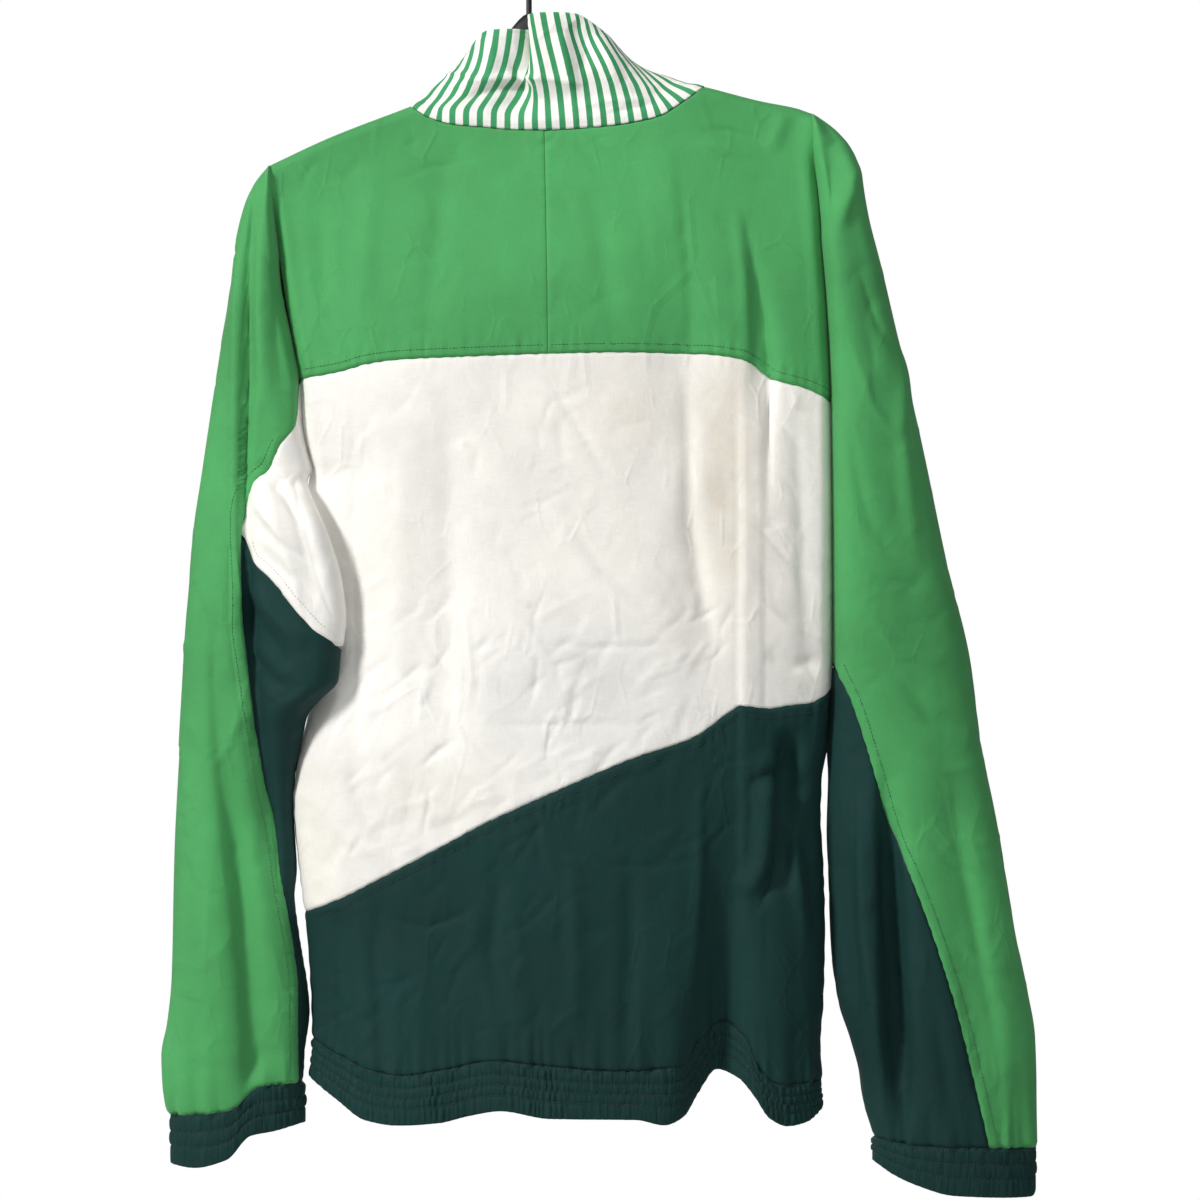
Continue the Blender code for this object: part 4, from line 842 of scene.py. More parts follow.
def half_columns(sleeve, side_count, neck_count):
    """Columns of a body half as shares from its side to the centre, one through the neck's end."""
    neck = NECK_LEFT if sleeve is LEFT else NECK_RIGHT
    down = RIDGE_LINE(neck)
    side = side_of(sleeve, down)
    at_neck = float((neck - side) / (CENTRE_LINE(down) - side))
    first = at_neck * spread(side_count)
    second = mix(at_neck, 1, spread(neck_count, True))
    return np.concatenate([first, second[1:]]), at_neck


def settle(line, x_at, start, shape=()):
    """The down where columns meet a line across the body."""
    down = np.full(shape, float(start))
    for _ in range(SETTLE_ROUNDS):
        down = line(x_at(down))
    return down


class Patch:
    """A net of points on one tube's sheet, as rows of columns, with its relief."""

    def __init__(self, tube, sheet, x, y, down, sleeve=None):
        self.tube = tube
        self.sheet = sheet
        self.x = x
        self.down = down
        self.drop = cuff_tilt(sleeve, x, down) if sleeve else np.zeros(x.shape)
        self.y = y
        self.height = crease_height(tube, sheet, x, down)
        # Share of the beige tint here: real stains, and painted shade beside the left sleeve.
        self.stain_and_shade = np.zeros(x.shape)

    def points(self):
        return np.stack([self.x, self.y, -(self.down + self.drop)], axis=-1)


def along(points):
    """Lengths along a polyline up to each of its points."""
    return np.concatenate([[0.0], np.cumsum(np.linalg.norm(np.diff(points, axis=0), axis=1))])


def crease_shape(kind, t):
    """Height across a crease, at t half widths from its line."""
    if kind == SOFT:
        return bell(t)
    if kind == CRISP:
        return np.exp(-1.6 * np.abs(t))
    return 0.5 * (1 - np.tanh(1.5 * t)) * np.exp(-np.square(t / 9)) * (t > -9)


def one_crease(x, down, half_width, height, kind, points):
    """Height of a crease along its points, fading out at both ends."""
    points = np.array(points, float)
    marks = along(points)
    best = np.full(x.shape, 1e9)
    signed = np.zeros(x.shape)
    place = np.zeros(x.shape)
    for i in range(len(points) - 1):
        a, b = points[i], points[i + 1]
        way = (b - a) / (marks[i + 1] - marks[i])
        t = np.clip((x - a[0]) * way[0] + (down - a[1]) * way[1], 0, marks[i + 1] - marks[i])
        off_x = x - a[0] - way[0] * t
        off_down = down - a[1] - way[1] * t
        distance = np.hypot(off_x, off_down)
        nearer = distance < best
        best = np.where(nearer, distance, best)
        side = np.sign(off_x * way[1] - off_down * way[0])
        signed = np.where(nearer, distance * side, signed)
        place = np.where(nearer, marks[i] + t, place)
    share = place / marks[-1]
    fade = np.clip(np.sin(math.pi * np.clip(share, 0.0, 1.0)), 0, 1) ** 0.7
    return CREASE_SCALE * height * fade * crease_shape(kind, signed / half_width)


def crinkle_rows():
    """Short creases scattered inside each region, the same ones each run."""
    dice = random.Random(CRINKLE_SEED)
    rows = {}
    for tube, sheet, x0, x1, down0, down1, angle, spread_by, count, length, width, height in CRINKLES:
        for _ in range(count):
            x = dice.uniform(x0, x1)
            down = dice.uniform(down0, down1)
            turn = math.radians(angle + dice.uniform(-spread_by, spread_by))
            half = length * dice.uniform(0.35, 1.0) / 2
            bend = dice.uniform(-0.18, 0.18) * half
            along_x, along_down = math.cos(turn), math.sin(turn)
            points = (
                (x - half * along_x, down - half * along_down),
                (x - bend * along_down, down + bend * along_x),
                (x + half * along_x, down + half * along_down),
            )
            lift = height * dice.uniform(0.4, 1.0) * dice.choice((-1, 1, -1))
            kind = dice.choice((SOFT, CRISP, CRISP))
            row = (width * dice.uniform(0.8, 1.6), lift, kind, points)
            rows.setdefault((tube, sheet), []).append(row)
    return rows


CRINKLE_ROWS = crinkle_rows()


def crease_height(tube, sheet, x, down):
    """Height of all creases and crinkles here."""
    total = np.zeros(x.shape)
    flat_x, flat_down = x.ravel(), down.ravel()
    flat = total.ravel()
    rows = list(CREASES.get((tube, sheet), ())) + CRINKLE_ROWS.get((tube, sheet), [])
    for half_width, height, kind, points in rows:
        reach = half_width * (28 if kind == STEP else 4)
        xs = [p[0] for p in points]
        downs = [p[1] for p in points]
        near = (
            (flat_x > min(xs) - reach) & (flat_x < max(xs) + reach)
            & (flat_down > min(downs) - reach) & (flat_down < max(downs) + reach)
        )
        if near.any():
            flat[near] += one_crease(
                flat_x[near], flat_down[near], half_width, height, kind, points
            )
    return flat.reshape(x.shape)


def ripple(s, pitch, seed=0.0):
    """An uneven wave along a seam or a band, between about -1 and 1."""
    turn = 2 * math.pi * s / pitch
    wobble = 1.3 * np.sin(turn * 0.137 + seed) + 0.9 * np.sin(turn * 0.311 + 2 * seed + 1)
    strength = 0.72 + 0.28 * np.sin(turn * 0.23 + 3 * seed)
    return np.sin(turn + wobble) * strength


def seam_height(distance, s, stitched, pucker=0.35, seed=0.0):
    """Relief beside a seam: its groove, the allowance under a topstitch, and small puckers."""
    distance = np.abs(distance)
    height = -GROOVE_DEPTH * bell(distance / GROOVE_HALF)
    if stitched:
        ridge = ease((distance - 0.6) / 1.0) * (1 - ease((distance - ALLOWANCE + 0.3) / 1.6))
        height = height + ALLOWANCE_RISE * ridge - 0.3 * bell((distance - ALLOWANCE) / 0.8)
        away = np.abs(distance - ALLOWANCE)
        height = height + pucker * ripple(s, 8.5, seed) * np.exp(-away / 5.5)
    else:
        height = height + pucker * ripple(s, 9.5, seed + 1) * np.exp(-distance / 5.0)
    return height


def gathered(height, away, s, rows):
    """Relief with a band's gathers added at these distances from its seam, and the seam's groove."""
    for reach, size, pitch, phase in rows:
        height = height + np.exp(-np.abs(away) / reach) * size * ripple(s, pitch, phase)
    return height - 1.0 * bell(away / BAND_SEAM_HALF)


def slope_of(line, at):
    return (line(at + SLOPE_REACH) - line(at - SLOPE_REACH)) / (2 * SLOPE_REACH)


def tilt_of(line, at):
    """Cosine of a line's slope, which turns a distance along one axis into one across it."""
    slope = slope_of(line, at)
    return 1 / np.sqrt(1 + slope * slope)


def body_patch(sleeve, sheet, top, bottom, rows, slot, inset=True, gap=SIDE_HALF_GAP,
               counts=(SIDE_COLUMNS, NECK_COLUMNS)):
    """Half a body panel between two lines, as columns from the side to the centre."""
    shares, at_neck = half_columns(sleeve, *counts)

    def x_at(down):
        return column_x(sleeve, shares, at_neck, down, slot, inset)

    high = settle(top, x_at, 300, shares.shape)
    low = settle(bottom, x_at, 700, shares.shape)
    rows = np.asarray(rows)[:, None]
    down = low + (high - low) * rows
    x = column_x(sleeve, shares[None, :], at_neck, down, slot, inset)
    return Patch("body", sheet, x, body_y(sheet, x, down, gap), down)


def sleeve_patch(sleeve, sheet, downs, start, end, crowd, gap=0.0, columns=SLEEVE_COLUMNS):
    """A sleeve panel, as rows from its outer boundary to its inner one."""
    shares = {
        "outer": spread(columns),
        "inner": 1 - spread(columns)[::-1],
        "both": spread(columns, True),
    }[crowd]
    down = np.asarray(downs, float)[:, None]
    x = mix(start(down), end(down), shares[None, :])
    down = down + np.zeros(x.shape)
    y = sleeve_y(sleeve, sheet, x, down, gap)
    return Patch(sleeve.name, sheet, x, y, down, sleeve)


def shifted(line, by):
    return lambda x: line(x) + by


def yoke_top(sheet):
    """The shoulder ridge, and between its ends the neckline."""

    def line(x):
        inside = (x > NECK_RIGHT) & (x < NECK_LEFT)
        return np.where(inside, NECKLINE[sheet](x), RIDGE_LINE(x))

    return line


def yoke_rows():
    even = np.arange(YOKE_ROWS, -1, -1) / YOKE_ROWS
    return 1 - mix(even, 1 - np.cos(math.pi / 2 * even), 0.8)


def even_rows(count):
    return np.arange(count + 1) / count


def middle_rows():
    """Rows of the middle panel, from its seam to the lower panel up to the yoke."""

    def edge_x(down):
        return column_x(LEFT, 0.0, 1.0, down, 0.0, True)

    low = float(settle(shifted(WAIST_LINE[BACK], -SEAM_HALF_GAP), edge_x, 700))
    high = float(settle(shifted(YOKE_LINE, SEAM_HALF_GAP), edge_x, 300))
    marks = [low, LEFT.underarm, WING_TOP, high]
    counts = [MIDDLE_ROWS_BELOW, MIDDLE_ROWS_WING, MIDDLE_ROWS_ABOVE]
    downs = [low]
    for start, end, count in zip(marks, marks[1:], counts):
        downs += [mix(start, end, i / count) for i in range(1, count + 1)]
    return [(low - down) / (low - high) for down in downs], downs


def steps(start, end, step):
    count = max(1, round((end - start) / step))
    return [mix(start, end, i / count) for i in range(count + 1)]


def sleeve_downs(sleeve):
    """All rows of a sleeve, so that the panels of both its sheets share them along each seam."""
    low = float(settle(shifted(YOKE_LINE, -SEAM_HALF_GAP), sleeve.fold, 330))
    downs = [mix(low, sleeve.top, row) for row in yoke_rows()][::-1]
    if sleeve is LEFT:
        downs += steps(downs[-1], WING_TOP, SLEEVE_STEP)[1:-1]
        downs += sorted(
            down for down in middle_rows()[1]
            if WING_TOP - 0.01 <= down <= LEFT.underarm + 0.01
        )
        marks = [LEFT.underarm, WING_START, WING_END]
    else:
        marks = [downs[-1], THREE_WAY_RIGHT, THREE_WAY_RIGHT + 6, sleeve.underarm]
    for start, end in zip(marks, marks[1:]):
        downs += steps(start, end, SLEEVE_STEP)[1:]
    return np.array(downs + steps(marks[-1], sleeve.cuff_line - SEAM_HALF_GAP, SLEEVE_STEP)[1:])


def green_edge(sleeve, down):
    """The light green panel's inner boundary on a sleeve."""
    if sleeve is LEFT:
        return np.where(down < YOKE_SEAM[0][1], sleeve.fold(down), GREEN_LEFT(down))
    return np.where(down <= THREE_WAY_RIGHT, sleeve.fold(down), GREEN_RIGHT(down))


def body_seams(piece, sheet, x, down):
    """Relief beside the seams that bound this panel of the body."""
    yoke = (down - YOKE_LINE(x)) * tilt_of(YOKE_LINE, x)
    waist = (WAIST_LINE[sheet](x) - down) * tilt_of(WAIST_LINE[sheet], x)
    centre = x - CENTRE_LINE(down)
    neck = np.abs(down - NECKLINE[sheet](x)) + 60 * ((x > NECK_LEFT) | (x < NECK_RIGHT))
    if piece == "yoke":
        height = seam_height(yoke, x, True, 0.8) + seam_height(neck, x, False, 0.3)
        height = height + seam_height(centre, down, sheet == FRONT, 0.4, 2.0)
    elif piece == "middle":
        height = seam_height(yoke, x, False, 0.35) + seam_height(waist, x, False, 0.3, 1.5)
    else:
        height = seam_height(waist, x, True, 0.55, 1.5)
        height = gathered(height, HEM_LINE[sheet](x) - down, x, HEM_GATHERS)
    if piece != "yoke" and sheet == FRONT:
        height = height + seam_height(centre, down, True, 0.3, 2.0)
    side = np.minimum(np.abs(x - side_of(LEFT, down)), np.abs(x - side_of(RIGHT, down)))
    below = np.where(x > 0, down > LEFT.underarm + 30, down > RIGHT.underarm + 10)
    height = height + below * np.exp(-side / 9.0) * 0.3 * ripple(down, 17.0, 4.0)
    return height


def sleeve_seams(piece, sleeve, x, down):
    """Relief beside the seams that bound this panel of a sleeve."""
    edge = green_edge(sleeve, down)
    line = GREEN_LEFT if sleeve is LEFT else GREEN_RIGHT
    across = (x - edge) * tilt_of(line, down)
    start = WING_TOP - 10 if sleeve is LEFT else THREE_WAY_RIGHT
    on = ease((down - start) / 12)
    height = on * seam_height(across, down, piece == "green", 0.5, 0.7)
    if sleeve is LEFT and piece != "green":
        hem = (WING_HEM(down) - x) * tilt_of(WING_HEM, down)
        near = ease((down - WING_START) / 8) * (1 - ease((down - WING_END) / 6))
        height = height + near * seam_height(hem, down, piece == "wing", 0.5, 1.1)
    return gathered(height, sleeve.cuff_line - down, x, CUFF_GATHERS)


def skin(count, rings, start=0):
    """Faces of a closed form: rings of this many points joined in turn, and a cap at either end."""
    faces = []
    for ring in range(rings - 1):
        low, high = start + ring * count, start + (ring + 1) * count
        for i in range(count):
            j = (i + 1) % count
            faces.append((low + i, low + j, high + j, high + i))
    last = start + (rings - 1) * count
    faces.append(tuple(range(start, start + count))[::-1])
    faces.append(tuple(range(last, last + count)))
    return faces


def block_faces(copies):
    """Faces for copies of a small block of four rings of four points."""
    starts = (np.arange(copies) * 16)[:, None, None]
    return (np.array(skin(4, 4))[None] + starts).reshape(-1, 4)


def uv_of(patch):
    """Place on the flat cloth in metres: across from the arc along a row, down from the column."""
    points = patch.points()
    across = np.linalg.norm(np.diff(points, axis=1), axis=2)
    across = np.concatenate([np.zeros((len(points), 1)), np.cumsum(across, axis=1)], axis=1)
    across = across - across[:, -1:] + 1000.0
    return np.stack([across, patch.down], axis=-1) * MM


def patch_faces(patches, points):
    """Quads of all patches, turned so that each patch faces out of its tube."""
    faces = []
    start = 0
    for patch in patches:
        rows, columns = patch.x.shape
        index = start + np.arange(rows * columns).reshape(rows, columns)
        quads = (index[:-1, :-1], index[:-1, 1:], index[1:, 1:], index[1:, :-1])
        quads = np.stack(quads, axis=-1).reshape(-1, 4)
        turned = points[quads[:, 1]] - points[quads[:, 0]]
        fall = points[quads[:, 3]] - points[quads[:, 0]]
        outwards = np.cross(turned, fall)[:, 1].sum() * patch.sheet > 0
        faces.append(quads if outwards else quads[:, ::-1])
        start += rows * columns
    return np.concatenate(faces)


def whole_faces(welded, faces):
    """Faces of the joined net without those that shrink to a line, and their corners' sources."""
    kept_faces, corners = [], []
    for face, source in zip(welded.tolist(), faces.tolist()):
        if len(set(face)) < 3:
            continue
        kept = [(v, s) for i, (v, s) in enumerate(zip(face, source)) if v not in face[:i]]
        kept_faces.append([v for v, _ in kept])
        corners += [s for _, s in kept]
    return kept_faces, corners


def linked(name, mesh, look):
    obj = bpy.data.objects.new(name, mesh)
    mesh.materials.append(look)
    bpy.context.scene.collection.objects.link(obj)
    return obj


def cloth(name, look, patches, thickness=CLOTH, uvs=None):
    """One sewn piece: its patches joined along shared edges, raised by relief, then thickened."""
    points = np.concatenate([patch.points().reshape(-1, 3) for patch in patches])
    height = np.concatenate([patch.height.ravel() for patch in patches])
    stain_and_shade = np.concatenate([patch.stain_and_shade.ravel() for patch in patches])
    uvs = uvs or [uv_of(patch) for patch in patches]
    uv = np.concatenate([given.reshape(-1, 2) for given in uvs])
    faces = patch_faces(patches, points)
    _, first, index = np.unique(
        np.round(points / WELD_MM).astype(np.int64), axis=0, return_index=True, return_inverse=True
    )
    index = index.reshape(-1)
    count = np.bincount(index)
    height = np.bincount(index, weights=height) / count
    stain_and_shade = (np.bincount(index, weights=stain_and_shade) / count).astype(np.float32)
    kept_faces, corners = whole_faces(index[faces], faces)
    mesh = bpy.data.meshes.new(name)
    mesh.from_pydata((points[first] * MM).tolist(), [], kept_faces)
    layer = mesh.uv_layers.new(name="UVMap")
    layer.data.foreach_set("uv", uv[corners].astype(np.float32).ravel())
    mesh.update()
    normals = np.empty(len(mesh.vertices) * 3, np.float32)
    mesh.vertex_normals.foreach_get("vector", normals)
    raised = points[first] * MM + normals.reshape(-1, 3) * (height * MM)[:, None]
    mesh.vertices.foreach_set("co", raised.astype(np.float32).ravel())
    # The stains and the painted shade go to the shader as a point attribute.
    mesh.attributes.new("stain_and_shade", "FLOAT", "POINT").data.foreach_set("value", stain_and_shade)
    mesh.shade_smooth()
    obj = linked(name, mesh, look)
    wall = obj.modifiers.new("wall", "SOLIDIFY")
    wall.thickness = thickness * MM
    wall.offset = 0.0
    wall.use_even_offset = False
    return obj


def make_yoke_sleeve(sleeve, look):
    """A light green piece: yoke, shoulder and outer sleeve in one, from back over to front."""
    patches = []
    for sheet in (BACK, FRONT):
        slot = SEAM_HALF_GAP if sheet == BACK else ZIP_SLOT_HALF
        seam = shifted(YOKE_LINE, -SEAM_HALF_GAP)
        body = body_patch(sleeve, sheet, yoke_top(sheet), seam, yoke_rows(), slot, False)
        body.height += body_seams("yoke", sheet, body.x, body.down)
        arm = sleeve_patch(
            sleeve, sheet, sleeve_downs(sleeve), sleeve.outer,
            lambda down: green_edge(sleeve, down), "both",
        )
        arm.height += sleeve_seams("green", sleeve, arm.x, arm.down)
        patches += [body, arm]
    for patch in patches:
        depth = patch.down - RIDGE_LINE(patch.x)
        patch.height *= np.where(patch.tube == "body", ease((depth + 2) / 12), 1.0)
    return cloth(f"yoke_sleeve_{sleeve.name}_cloth", look, patches)


def wing_patch(sheet):
    """The middle panel's stretch under the left arm, joined to the body along the fold line."""
    downs = sleeve_downs(LEFT)
    downs = downs[(downs >= WING_TOP - 0.01) & (downs <= WING_END + 0.01)]

    def outer_edge(down):
        return np.where(down >= WING_START, WING_HEM(down), GREEN_LEFT(down) - SEAM_X_GAP)

    patch = sleeve_patch(
        LEFT, sheet, downs, outer_edge, lambda down: inner_of(LEFT, down), "inner", SIDE_HALF_GAP
    )
    patch.height += sleeve_seams("wing", LEFT, patch.x, patch.down)
    return patch


def add_stains_and_shade(patch):
    """Paints the panel's few stains, and its painted shade beside the left sleeve, on its net."""
    for x, down, half_x, half_down, strength in STAINS_AND_SHADE:
        blob = bell((patch.x - x) / half_x) * bell((patch.down - down) / half_down)
        patch.stain_and_shade += strength * blob


def by_owner(level, halves):
    """Nodes of a level of the body, each with its halves: one back, and two beside the zip."""
    return {
        f"back_{level}": [halves[BACK, "left"], halves[BACK, "right"]],
        f"front_{level}_left": [halves[FRONT, "left"]],
        f"front_{level}_right": [halves[FRONT, "right"]],
    }


def body_panels(level, tops, bottoms, rows):
    """Patches of a level's panels between two lines, with the relief of their seams."""
    halves = {}
    for sheet in (BACK, FRONT):
        for sleeve in (LEFT, RIGHT):
            patch = body_patch(sleeve, sheet, tops[sheet], bottoms[sheet], rows, centre_gap(sheet))
            patch.height += body_seams(level, sheet, patch.x, patch.down)
            halves[sheet, sleeve.name] = patch
    return by_owner(level, halves)


def make_middles(look):
    """The white panels, with the back's stains and painted shade, and a wing each under the left arm.
    """
    tops = dict.fromkeys((BACK, FRONT), shifted(YOKE_LINE, SEAM_HALF_GAP))
    bottoms = {sheet: shifted(line, -SEAM_HALF_GAP) for sheet, line in WAIST_LINE.items()}
    panels = body_panels("middle", tops, bottoms, middle_rows()[0])
    for patch in panels["back_middle"]:
        add_stains_and_shade(patch)
    panels["back_middle"].append(wing_patch(BACK))
    panels["front_middle_left"].append(wing_patch(FRONT))
    return {node: cloth(f"{node}_cloth", look, patches) for node, patches in panels.items()}


def make_lowers(look):
    """The dark panels between the slanting seam and the hem band."""
    tops = {sheet: shifted(line, SEAM_HALF_GAP) for sheet, line in WAIST_LINE.items()}
    bottoms = {sheet: shifted(line, -SEAM_HALF_GAP) for sheet, line in HEM_LINE.items()}
    panels = body_panels("lower", tops, bottoms, even_rows(LOWER_ROWS))
    return {node: cloth(f"{node}_cloth", look, patches) for node, patches in panels.items()}


def make_under_sleeve(sleeve, look):
    """The dark piece that wraps round the inside of a sleeve from its back to its front."""
    start = WING_START if sleeve is LEFT else THREE_WAY_RIGHT + 5.9
    downs = sleeve_downs(sleeve)
    downs = downs[downs > start - 0.01]

    def outer_edge(down):
        return green_edge(sleeve, down) - sleeve.sign * SEAM_X_GAP

    def inner_edge(down):
        inner = inner_of(sleeve, down)
        if sleeve is RIGHT:
            return inner
        beside_wing = np.minimum(WING_HEM(down), outer_edge(down))
        return np.where(down <= WING_END + 0.01, beside_wing, inner)

    patches = []
    for sheet in (BACK, FRONT):
        patch = sleeve_patch(sleeve, sheet, downs, outer_edge, inner_edge, "inner")
        patch.height += sleeve_seams("under", sleeve, patch.x, patch.down)
        patches.append(patch)
    return cloth(f"under_sleeve_{sleeve.name}_cloth", look, patches)


def elastic_height(row, s, stitch_rows, seed):
    """Relief of a gathered band: rolls between its stitch rows, and uneven ribs across them."""
    marks = [0.0, *stitch_rows[1:], 1.0]
    height = np.zeros(row.shape)
    for i, (low, high) in enumerate(zip(marks, marks[1:])):
        inside = (row >= low) & (row <= high)
        arch = np.sin(math.pi * np.clip((row - low) / (high - low), 0, 1))
        ribs = ripple(s + 0.9 * math.sin(i * 2.1), RIB_PITCH, seed + 0.35 * i)
        roll = ROLL_HEIGHT * arch ** 0.7 * (0.75 + 0.25 * ripple(s, 19.0, seed + i))
        height = np.where(inside, roll + RIB_HEIGHT * (0.35 + 0.65 * arch) * ribs, height)
    for mark in stitch_rows:
        height = height - 0.55 * bell((row - mark) / 0.025)
    return height - 0.2


def make_hem(look):
    """The elastic band, open at the zip, and the nets that its stitches lie on."""
    patches = []
    for sheet in (BACK, FRONT):
        top = shifted(HEM_LINE[sheet], SEAM_HALF_GAP)
        for sleeve in (LEFT, RIGHT):
            rows = even_rows(HEM_ROWS)
            patch = body_patch(
                sleeve, sheet, top, EDGE_LINE[sheet], rows, centre_gap(sheet), True, 0.0,
                (HEM_SIDE_COLUMNS, HEM_NECK_COLUMNS),
            )
            from_top = 1 - rows[:, None] + np.zeros(patch.x.shape)
            seam = body_seams("lower", sheet, patch.x, HEM_LINE[sheet](patch.x))
            band = elastic_height(from_top, patch.x, HEM_STITCH_ROWS, 0.0)
            patch.height = mix(patch.height + seam, band, ease(from_top / BAND_BLEND))
            patches.append(patch)
    return cloth("hem_band_cloth", look, patches), patches


def cuff_point(sleeve, sheet, x, row):
    """Place on a cuff at this share of its height."""
    at = sleeve.cuff_line
    y = sleeve_y(sleeve, sheet, x, at + 0 * x) * mix(1, CUFF_DRAW_IN, row)
    down = mix(sleeve.cuff_seam(x) + SEAM_HALF_GAP, sleeve.cuff_edge(x), row)
    return y, down


def make_cuff(sleeve, look):
    """A sleeve's elastic band, and the nets that its stitches lie on."""
    at = sleeve.cuff_line
    outer, inner = float(sleeve.outer(at)), float(inner_of(sleeve, at))
    shares = spread(CUFF_COLUMNS, True)
    patches = []
    for sheet in (BACK, FRONT):
        row = even_rows(CUFF_ROWS)[:, None]
        x = mix(outer, inner, shares[None, :]) + 0 * row
        y, down = cuff_point(sleeve, sheet, x, row + 0 * x)
        patch = Patch("cuff", sheet, x, y, down)
        seam = crease_height(sleeve.name, sheet, x, at + 0 * x)
        seam = seam + sleeve_seams("green", sleeve, x, at + 0 * x)
        band = elastic_height(row + 0 * x, x, CUFF_STITCH_ROWS, 1.0)
        patch.height = mix(seam, band, ease((row + 0 * x) / BAND_BLEND))
        patches.append(patch)
    return cloth(f"cuff_{sleeve.name}_cloth", look, patches), patches


def neck_stations():
    """Sheet and x along the neckline, from the zip round the wearer's left to the zip again."""
    stations = []
    for sleeve in (LEFT, RIGHT):
        shares, at_neck = half_columns(sleeve, SIDE_COLUMNS, 2 * NECK_COLUMNS)
        shares = shares[SIDE_COLUMNS:]
        lines = []
        for sheet in (FRONT, BACK):
            gap = centre_gap(sheet)

            def x_at(down):
                return column_x(sleeve, shares, at_neck, down, gap, False)

            down = settle(NECKLINE[sheet], x_at, 150, shares.shape)
            lines.append([(sheet, x) for x in x_at(down)])
        half = lines[0][::-1] + lines[1][1:]
        stations += half if sleeve is LEFT else half[::-1][1:]
    return stations


def collar_lean(share, base, front):
    """Share of the way from foot to top edge across, which bends the stripes."""
    left, right, end = (
        Curve(rows)(share) for rows in (COLLAR_LEAN_LEFT, COLLAR_LEAN_RIGHT, COLLAR_LEAN_END)
    )
    lean = mix(left, right, ease((14 - base) / 26))
    outer = np.maximum(ease((base - 58) / 20), ease((-84 - base) / 24))
    return np.where(front, end, mix(lean, end, outer))


def make_collar(look):
    """The stand collar: a ruled wall from the neckline to its top edge, slumped over its foot."""
    stations = neck_stations()
    feet, tops = [], []
    for sheet, x in stations:
        neck = NECKLINE[sheet](x)
        foot = np.array([x, body_y(sheet, x, neck), neck], float)
        top = np.array([curve(x) for curve in COLLAR_EDGE[sheet]], float)
        foot = foot + (top - foot) / np.linalg.norm(top - foot) * COLLAR_GAP
        feet.append(foot)
        tops.append(top)
    feet, tops = np.array(feet), np.array(tops)
    share = even_rows(COLLAR_ROWS)[:, None] + np.zeros(len(stations))
    base = np.array([x for _, x in stations], float)[None, :]
    front = np.array([sheet == FRONT for sheet, _ in stations])[None, :]
    lean = collar_lean(share, base, front)
    x = mix(feet[None, :, 0], tops[None, :, 0], lean)
    y = mix(feet[None, :, 1], tops[None, :, 1], share)
    down = mix(feet[None, :, 2], tops[None, :, 2], share)
    patch = Patch("collar", BACK, x, y, down)
    at_front = crease_height("collar", FRONT, x, down)
    patch.height = np.where(front, at_front, patch.height)
    slump = SLUMP_LOW + SLUMP_HIGH * bell((base - SLUMP_X) / SLUMP_HALF) * ~front
    patch.height += slump * bell((share - 0.26) / 0.12) - 0.3 * slump * bell((share - 0.08) / 0.05)
    patch.height -= 0.5 * bell((share - 0.92) / 0.012)
    length = along(feet)
    across = length - length[len(length) // 2]
    uv = np.stack([across[None, :] + 0 * x, share * 80.0], axis=-1) * MM
    return cloth("collar_cloth", look, [patch], COLLAR_CLOTH, [uv]), patch


class Nodes:
    """Short way to lay out a material's node tree."""

    def __init__(self, name):
        self.material = bpy.data.materials.new(name)
        self.material.use_nodes = True
        self.tree = self.material.node_tree
        self.shader = self.tree.nodes["Principled BSDF"]

    def node(self, kind, **settings):
        made = self.tree.nodes.new(kind)
        for key, value in settings.items():
            setattr(made, key, value)
        return made

    def put(self, value, socket):
        if hasattr(value, "is_output"):
            self.tree.links.new(value, socket)
        else:
            socket.default_value = value

    def math(self, operation, a, b=0.0):
        made = self.node("ShaderNodeMath", operation=operation)
        self.put(a, made.inputs[0])
        self.put(b, made.inputs[1])
        return made.outputs[0]

    def noise(self, place, scale, detail=2.0, roughness=0.5, distortion=0.0):
        made = self.node("ShaderNodeTexNoise")
        names = ("Vector", "Scale", "Detail", "Roughness", "Distortion")
        for name, given in zip(names, (place, scale, detail, roughness, distortion)):
            self.put(given, made.inputs[name])
        return made.outputs["Fac"]

    def remap(self, value, low, high, to_low, to_high):
        made = self.node("ShaderNodeMapRange")
        for socket, given in zip(made.inputs, (value, low, high, to_low, to_high)):
            self.put(given, socket)
        return made.outputs["Result"]

    def scaled(self, place, x, y, z):
        made = self.node("ShaderNodeMapping")
        self.put(place, made.inputs["Vector"])
        made.inputs["Scale"].default_value = (x, y, z)
        return made.outputs["Vector"]

    def blend(self, factor, a, b, mode="MIX"):
        made = self.node("ShaderNodeMix", data_type="RGBA", blend_type=mode)
        self.put(factor, made.inputs["Factor"])
        self.put(a, made.inputs[6])
        self.put(b, made.inputs[7])
        return made.outputs[2]

    def bump(self, height, strength, distance, normal=None):
        made = self.node("ShaderNodeBump")
        self.put(height, made.inputs["Height"])
        self.put(strength, made.inputs["Strength"])
        self.put(distance, made.inputs["Distance"])
        if normal is not None:
            self.put(normal, made.inputs["Normal"])
        return made.outputs["Normal"]


def colour(rgb, value=1.0):
    return (rgb[0] * value, rgb[1] * value, rgb[2] * value, 1.0)


